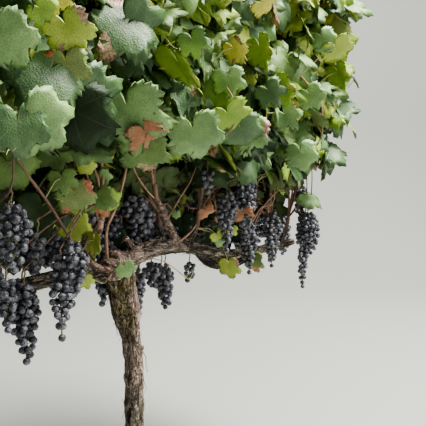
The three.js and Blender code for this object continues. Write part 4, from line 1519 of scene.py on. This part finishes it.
def scattered(tree, given, scale, inputs):
    """Real copies of a shape on the points that come in, turned and sized as each point says."""
    size = calc(tree, "MULTIPLY", named(tree, "size", "FLOAT"), given.outputs[scale])
    placed = node(tree, "GeometryNodeInstanceOnPoints", {
        "Points": given.outputs["Geometry"], "Rotation": named(tree, "turn", "FLOAT_VECTOR"),
        "Scale": size, **inputs})
    return node(tree, "GeometryNodeRealizeInstances",
                {"Geometry": placed.outputs["Instances"]}).outputs["Geometry"]


def leaf_tree():
    tree, given, result = new_tree(
        "Leaves on stalk ends", ("Shapes", "NodeSocketCollection", None),
        ("Leaf scale", "NodeSocketFloat", 1.0), ("Blade", "NodeSocketMaterial", None),
        ("Vein", "NodeSocketMaterial", None), ("Underside", "NodeSocketMaterial", None))
    shapes = node(tree, "GeometryNodeCollectionInfo", {
        "Collection": given.outputs["Shapes"], "Separate Children": True, "Reset Children": True})
    leaves = scattered(tree, given, "Leaf scale", {
        "Instance": shapes.outputs["Instances"], "Pick Instance": True,
        "Instance Index": named(tree, "shape", "INT")})
    for part, mark in (("Blade", None), ("Vein", "vein"), ("Underside", "under")):
        leaves = painted(tree, leaves, given.outputs[part], mark)
    tree.links.new(leaves, result.inputs["Geometry"])
    return tree


def berry_tree():
    tree, given, result = new_tree(
        "Berries on points", ("Berry scale", "NodeSocketFloat", 1.0),
        ("Skin", "NodeSocketMaterial", None))
    ball = node(tree, "GeometryNodeMeshUVSphere", {"Segments": 8, "Rings": 5, "Radius": 1.0})
    soft = node(tree, "GeometryNodeSetShadeSmooth", {"Geometry": ball.outputs["Mesh"]})
    berries = scattered(tree, given, "Berry scale", {"Instance": soft.outputs["Geometry"]})
    tree.links.new(painted(tree, berries, given.outputs["Skin"]), result.inputs["Geometry"])
    return tree


def stalk_tree():
    tree, given, result = new_tree(
        "Round stalks along lines", ("Sides", "NodeSocketInt", 6),
        ("Thickness", "NodeSocketFloat", 1.0), ("Bark", "NodeSocketMaterial", None))
    ring = node(tree, "GeometryNodeCurvePrimitiveCircle",
                {"Resolution": given.outputs["Sides"], "Radius": given.outputs["Thickness"]})
    radius = node(tree, "GeometryNodeInputRadius")
    body = node(tree, "GeometryNodeCurveToMesh",
                {"Curve": given.outputs["Geometry"], "Profile Curve": ring.outputs["Curve"],
                 "Scale": radius.outputs["Radius"], "Fill Caps": True})
    soft = node(tree, "GeometryNodeSetShadeSmooth", {"Geometry": body.outputs["Mesh"]})
    real = node(tree, "GeometryNodeRealizeInstances", {"Geometry": soft.outputs["Geometry"]})
    stalks = painted(tree, real.outputs["Geometry"], given.outputs["Bark"])
    tree.links.new(stalks, result.inputs["Geometry"])
    return tree


def shred_tree():
    """Thin strips of bark that lift off the wood, on points that carry how they lie."""
    tree, given, result = new_tree(
        "Shreds of bark on points", ("Strip", "NodeSocketObject", None),
        ("Strip scale", "NodeSocketFloat", 1.0), ("Bark", "NodeSocketMaterial", None))
    strip = node(tree, "GeometryNodeObjectInfo",
                 {"Object": given.outputs["Strip"], "As Instance": True})
    shreds = scattered(tree, given, "Strip scale", {"Instance": strip.outputs["Geometry"]})
    tree.links.new(painted(tree, shreds, given.outputs["Bark"]), result.inputs["Geometry"])
    return tree


# Pieces made by the trees

def point_cloud(places, turns, sizes, shapes=None):
    """Loose points that carry the turn and size of their copies, and which shape they are."""
    mesh = new_mesh("points", places, [])
    values = [("turn", "FLOAT_VECTOR", "vector", turns), ("size", "FLOAT", "value", sizes)]
    if shapes:
        values.append(("shape", "INT", "value", shapes))
    for label, kind, field, data in values:
        made = mesh.attributes.new(label, kind, "POINT")
        made.data.foreach_set(field, np.array(data).ravel())
    return new_piece("points", mesh)


def strip_shape():
    """A narrow strip of length 1 along X, flat at its root and lifted at its tip."""
    bends = ((0.0, 0.0), (0.25, 0.012), (0.5, 0.03), (0.75, 0.075), (1.0, 0.15))
    points, faces = [], []
    for t, lift in bends:
        half = 0.045 * (1 - 0.7 * t * t) * (0.5 + 0.5 * min(1, 4 * t + 0.4))
        points += [(t, -half, lift - 0.02), (t, half, lift - 0.02), (t, 0, lift + 0.02)]
    for a in range(0, 3 * (len(bends) - 1), 3):
        faces += [(a + j, a + k, a + k + 3, a + j + 3) for j, k in ((0, 2), (2, 1), (1, 0))]
    faces += [(0, 1, 2), (12, 14, 13)]
    return new_mesh("strip_shape", points, faces)


def build_shreds(name, skin, paths, tree, material, floor_height):
    """Strips of bark strewn over a finished skin, along its limbs, each with one end lifted."""
    strip = bpy.data.objects.new("strip_shape", strip_shape())
    draw = seeded(SEED + SHRED_SEED + SHREDS)
    places, turns, sizes = [], [], []
    corners = skin.data.vertices
    rows = [(centre, tangent) for path in paths for centre, tangent, _, _ in path.frames(80)]
    while len(places) < SHREDS:
        corner = corners[int(draw() * len(corners))]
        if corner.co.z < floor_height:
            continue
        _, tangent = min(rows, key=lambda row: (row[0] - corner.co).length)
        along = tangent * (1 if draw() < 0.5 else -1) + stray(draw) * 0.35
        outward = corner.normal.copy()
        along = (along - outward * along.dot(outward)).normalized()
        places.append(corner.co + outward * 0.0002)
        turns.append(turn_of(along, outward.cross(along), outward))
        sizes.append(0.010 + 0.022 * draw() ** 2)
    source = point_cloud(places, turns, sizes)
    mesh = with_modifier(source, "NODES", {"Strip": strip, "Bark": material}, node_group=tree)
    bpy.data.objects.remove(strip)
    dress(new_piece(name, mesh), "bark")


def build_lines(name, lines, tree, material, sides):
    curve = bpy.data.curves.new(name, "CURVE")
    curve.dimensions = "3D"
    for points, radii in lines:
        spline = curve.splines.new("POLY")
        spline.points.add(len(points) - 1)
        spline.points.foreach_set("co", [c for p in points for c in (*p, 1)])
        spline.points.foreach_set("radius", radii)
    source = new_piece(name + "_lines", curve)
    mesh = with_modifier(source, "NODES", {"Sides": sides, "Bark": material}, node_group=tree)
    dress(new_piece(name, mesh), "foliage")


def build_leaves(growth, tree, greens):
    shelf = bpy.data.collections.new("leaf_shapes")
    coarse = [(shape, COARSE_TEETH) for shape in LEAF_SHAPES[:SOUND_SHAPES]]
    for index, (shape, teeth) in enumerate(coarse + [(shape, FINE_TEETH) for shape in LEAF_SHAPES]):
        name = f"leaf_shape_{index:02d}"
        mesh = leaf_shape(name, *shape, teeth, SHAPE_SEED + index)
        shelf.objects.link(bpy.data.objects.new(name, mesh))
    for colour, (low, high, roughness, specular, under, patch) in greens.items():
        source = point_cloud(*zip(*growth.leaves[colour]))
        pallor = min(0.30, 1.3 * high[1])
        vein = [mix(mix(a, b, 0.7), c, pallor) for a, b, c in zip(low, high, VEIN_TONE)]
        mesh = with_modifier(source, "NODES", {
            "Shapes": shelf, "Vein": plain_leaf("vein_" + colour, vein), "Underside": under,
            "Blade": leaf_material("leaf_" + colour, low, high, roughness, specular, patch),
        }, node_group=tree)
        dress(new_piece("leaves_" + colour, mesh), "foliage", *MASS_NAMES)
    for shape in list(shelf.objects):
        bpy.data.objects.remove(shape)
    bpy.data.collections.remove(shelf)


def build_berries(growth, tree, skin):
    """The berries of the front's bunches and those of the back's, each kept to a piece of its own."""
    draw = seeded(SEED + BERRY_SEED)
    front = [berry for berry in growth.berries if berry[0].y < 0]
    back = [berry for berry in growth.berries if berry[0].y >= 0]
    for name, berries in (("berries_front", front), ("berries_back", back)):
        places, sizes = zip(*berries)
        turns = [(draw() * 6, draw() * 6, draw() * 6) for _ in places]
        source = point_cloud(places, turns, sizes)
        mesh = with_modifier(source, "NODES", {"Skin": skin}, node_group=tree)
        dress(new_piece(name, mesh), "foliage", *MASS_NAMES)


def main():
    noise.seed_set(SEED)
    set_camera()
    set_stage()
    trunk_bark = bark_material("trunk_bark", (230, 230, 32), (150, 150, 48), OLD_TONES)
    arm_bark = bark_material("arm_bark", (36, 260, 260), (40, 170, 170), OLD_TONES)
    young_bark = bark_material("young_bark", (90, 160, 90), (30, 60, 30), RED_TONES)
    trunk = build_trunk(trunk_bark)
    right_arm = build_arms(arm_bark)
    build_curled_spur(young_bark)
    shreds = shred_tree()
    strip_bark = wood_material("strip_bark", (0.10, 0.078, 0.058), (0.25, 0.20, 0.155),
                               (150, 150, 150), 0.9)
    build_shreds("trunk_shreds", trunk, [TRUNK], shreds, strip_bark, SHRED_FLOOR)
    build_shreds("arm_shreds", right_arm, [ARM_RIGHT, UNDER_LIMB, OLD_SPUR], shreds, strip_bark, 0.0)

    growth = Growth()
    for order, mass in enumerate(MASSES):
        grow_mass(growth, mass, order)

    grey_under, warm_under, dry_under, dark_under = (
        leaf_material("leaf_underside" + name, low, high, roughness, specular)
        for name, low, high, roughness, specular in (
            ("", (0.10, 0.155, 0.045), (0.17, 0.235, 0.07), 0.7, 0.25),
            ("_warm", (0.24, 0.32, 0.03), (0.35, 0.42, 0.06), 0.7, 0.25),
            ("_dry", (0.26, 0.15, 0.08), (0.38, 0.24, 0.13), 0.75, 0.2),
            ("_dark", (0.035, 0.062, 0.014), (0.065, 0.10, 0.026), 0.7, 0.25)))
    tan_patch = ((0.14, 0.075, 0.035), (0.38, 0.25, 0.12))
    rose_patch = ((0.20, 0.11, 0.06), (0.50, 0.33, 0.22))
    red_patch = ((0.24, 0.085, 0.04), (0.55, 0.17, 0.085))
    greens = {
        "sage": ((0.030, 0.081, 0.021), (0.076, 0.160, 0.045), 0.48, 0.40, grey_under, rose_patch),
        "pale": ((0.110, 0.222, 0.062), (0.205, 0.365, 0.108), 0.50, 0.38, grey_under, rose_patch),
        # shade is a near-black green that paints the shade inside the crown; deep, a dark green, does
        # this too where it fills gaps.
        "deep": ((0.015, 0.038, 0.010), (0.035, 0.073, 0.018), 0.48, 0.25, dark_under, tan_patch),
        "shade": ((0.006, 0.016, 0.005), (0.013, 0.030, 0.008), 0.55, 0.12, dark_under, tan_patch),
        "mid": ((0.052, 0.117, 0.014), (0.108, 0.196, 0.027), 0.50, 0.35, grey_under, tan_patch),
        "bright": ((0.150, 0.280, 0.010), (0.250, 0.400, 0.022), 0.5, 0.35, warm_under, tan_patch),
        "lime": ((0.300, 0.410, 0.028), (0.430, 0.530, 0.065), 0.5, 0.35, warm_under, rose_patch),
        "yellow": ((0.50, 0.47, 0.04), (0.62, 0.55, 0.09), 0.55, 0.35, warm_under, tan_patch),
        "russet": ((0.085, 0.180, 0.030), (0.210, 0.250, 0.070), 0.5, 0.3, warm_under, red_patch),
        "dry": ((0.27, 0.11, 0.05), (0.42, 0.20, 0.10), 0.7, 0.2, dry_under, tan_patch),
    }
    grow_chosen(growth)
    build_leaves(growth, leaf_tree(), greens)
    build_berries(growth, berry_tree(), berry_material())

    stalks = stalk_tree()
    looks = {
        "brown_canes": ("cane_bark", (0.085, 0.042, 0.026), (0.21, 0.115, 0.068), (120, 120, 40), 8),
        "tan_canes": ("tan_cane_bark", (0.24, 0.120, 0.068), (0.46, 0.27, 0.165), (120, 120, 40), 8),
        "green_stalks": ("stalk_skin", (0.26, 0.30, 0.08), (0.46, 0.43, 0.17), (90, 90, 90), 4),
        "bunch_stalks": ("bunch_stalk_skin", (0.13, 0.12, 0.045), (0.22, 0.17, 0.08), (90, 90, 90), 5),
    }
    for kind, lines in growth.lines.items():
        *look, sides = looks[kind]
        build_lines(kind, lines, stalks, wood_material(*look), sides)


main()
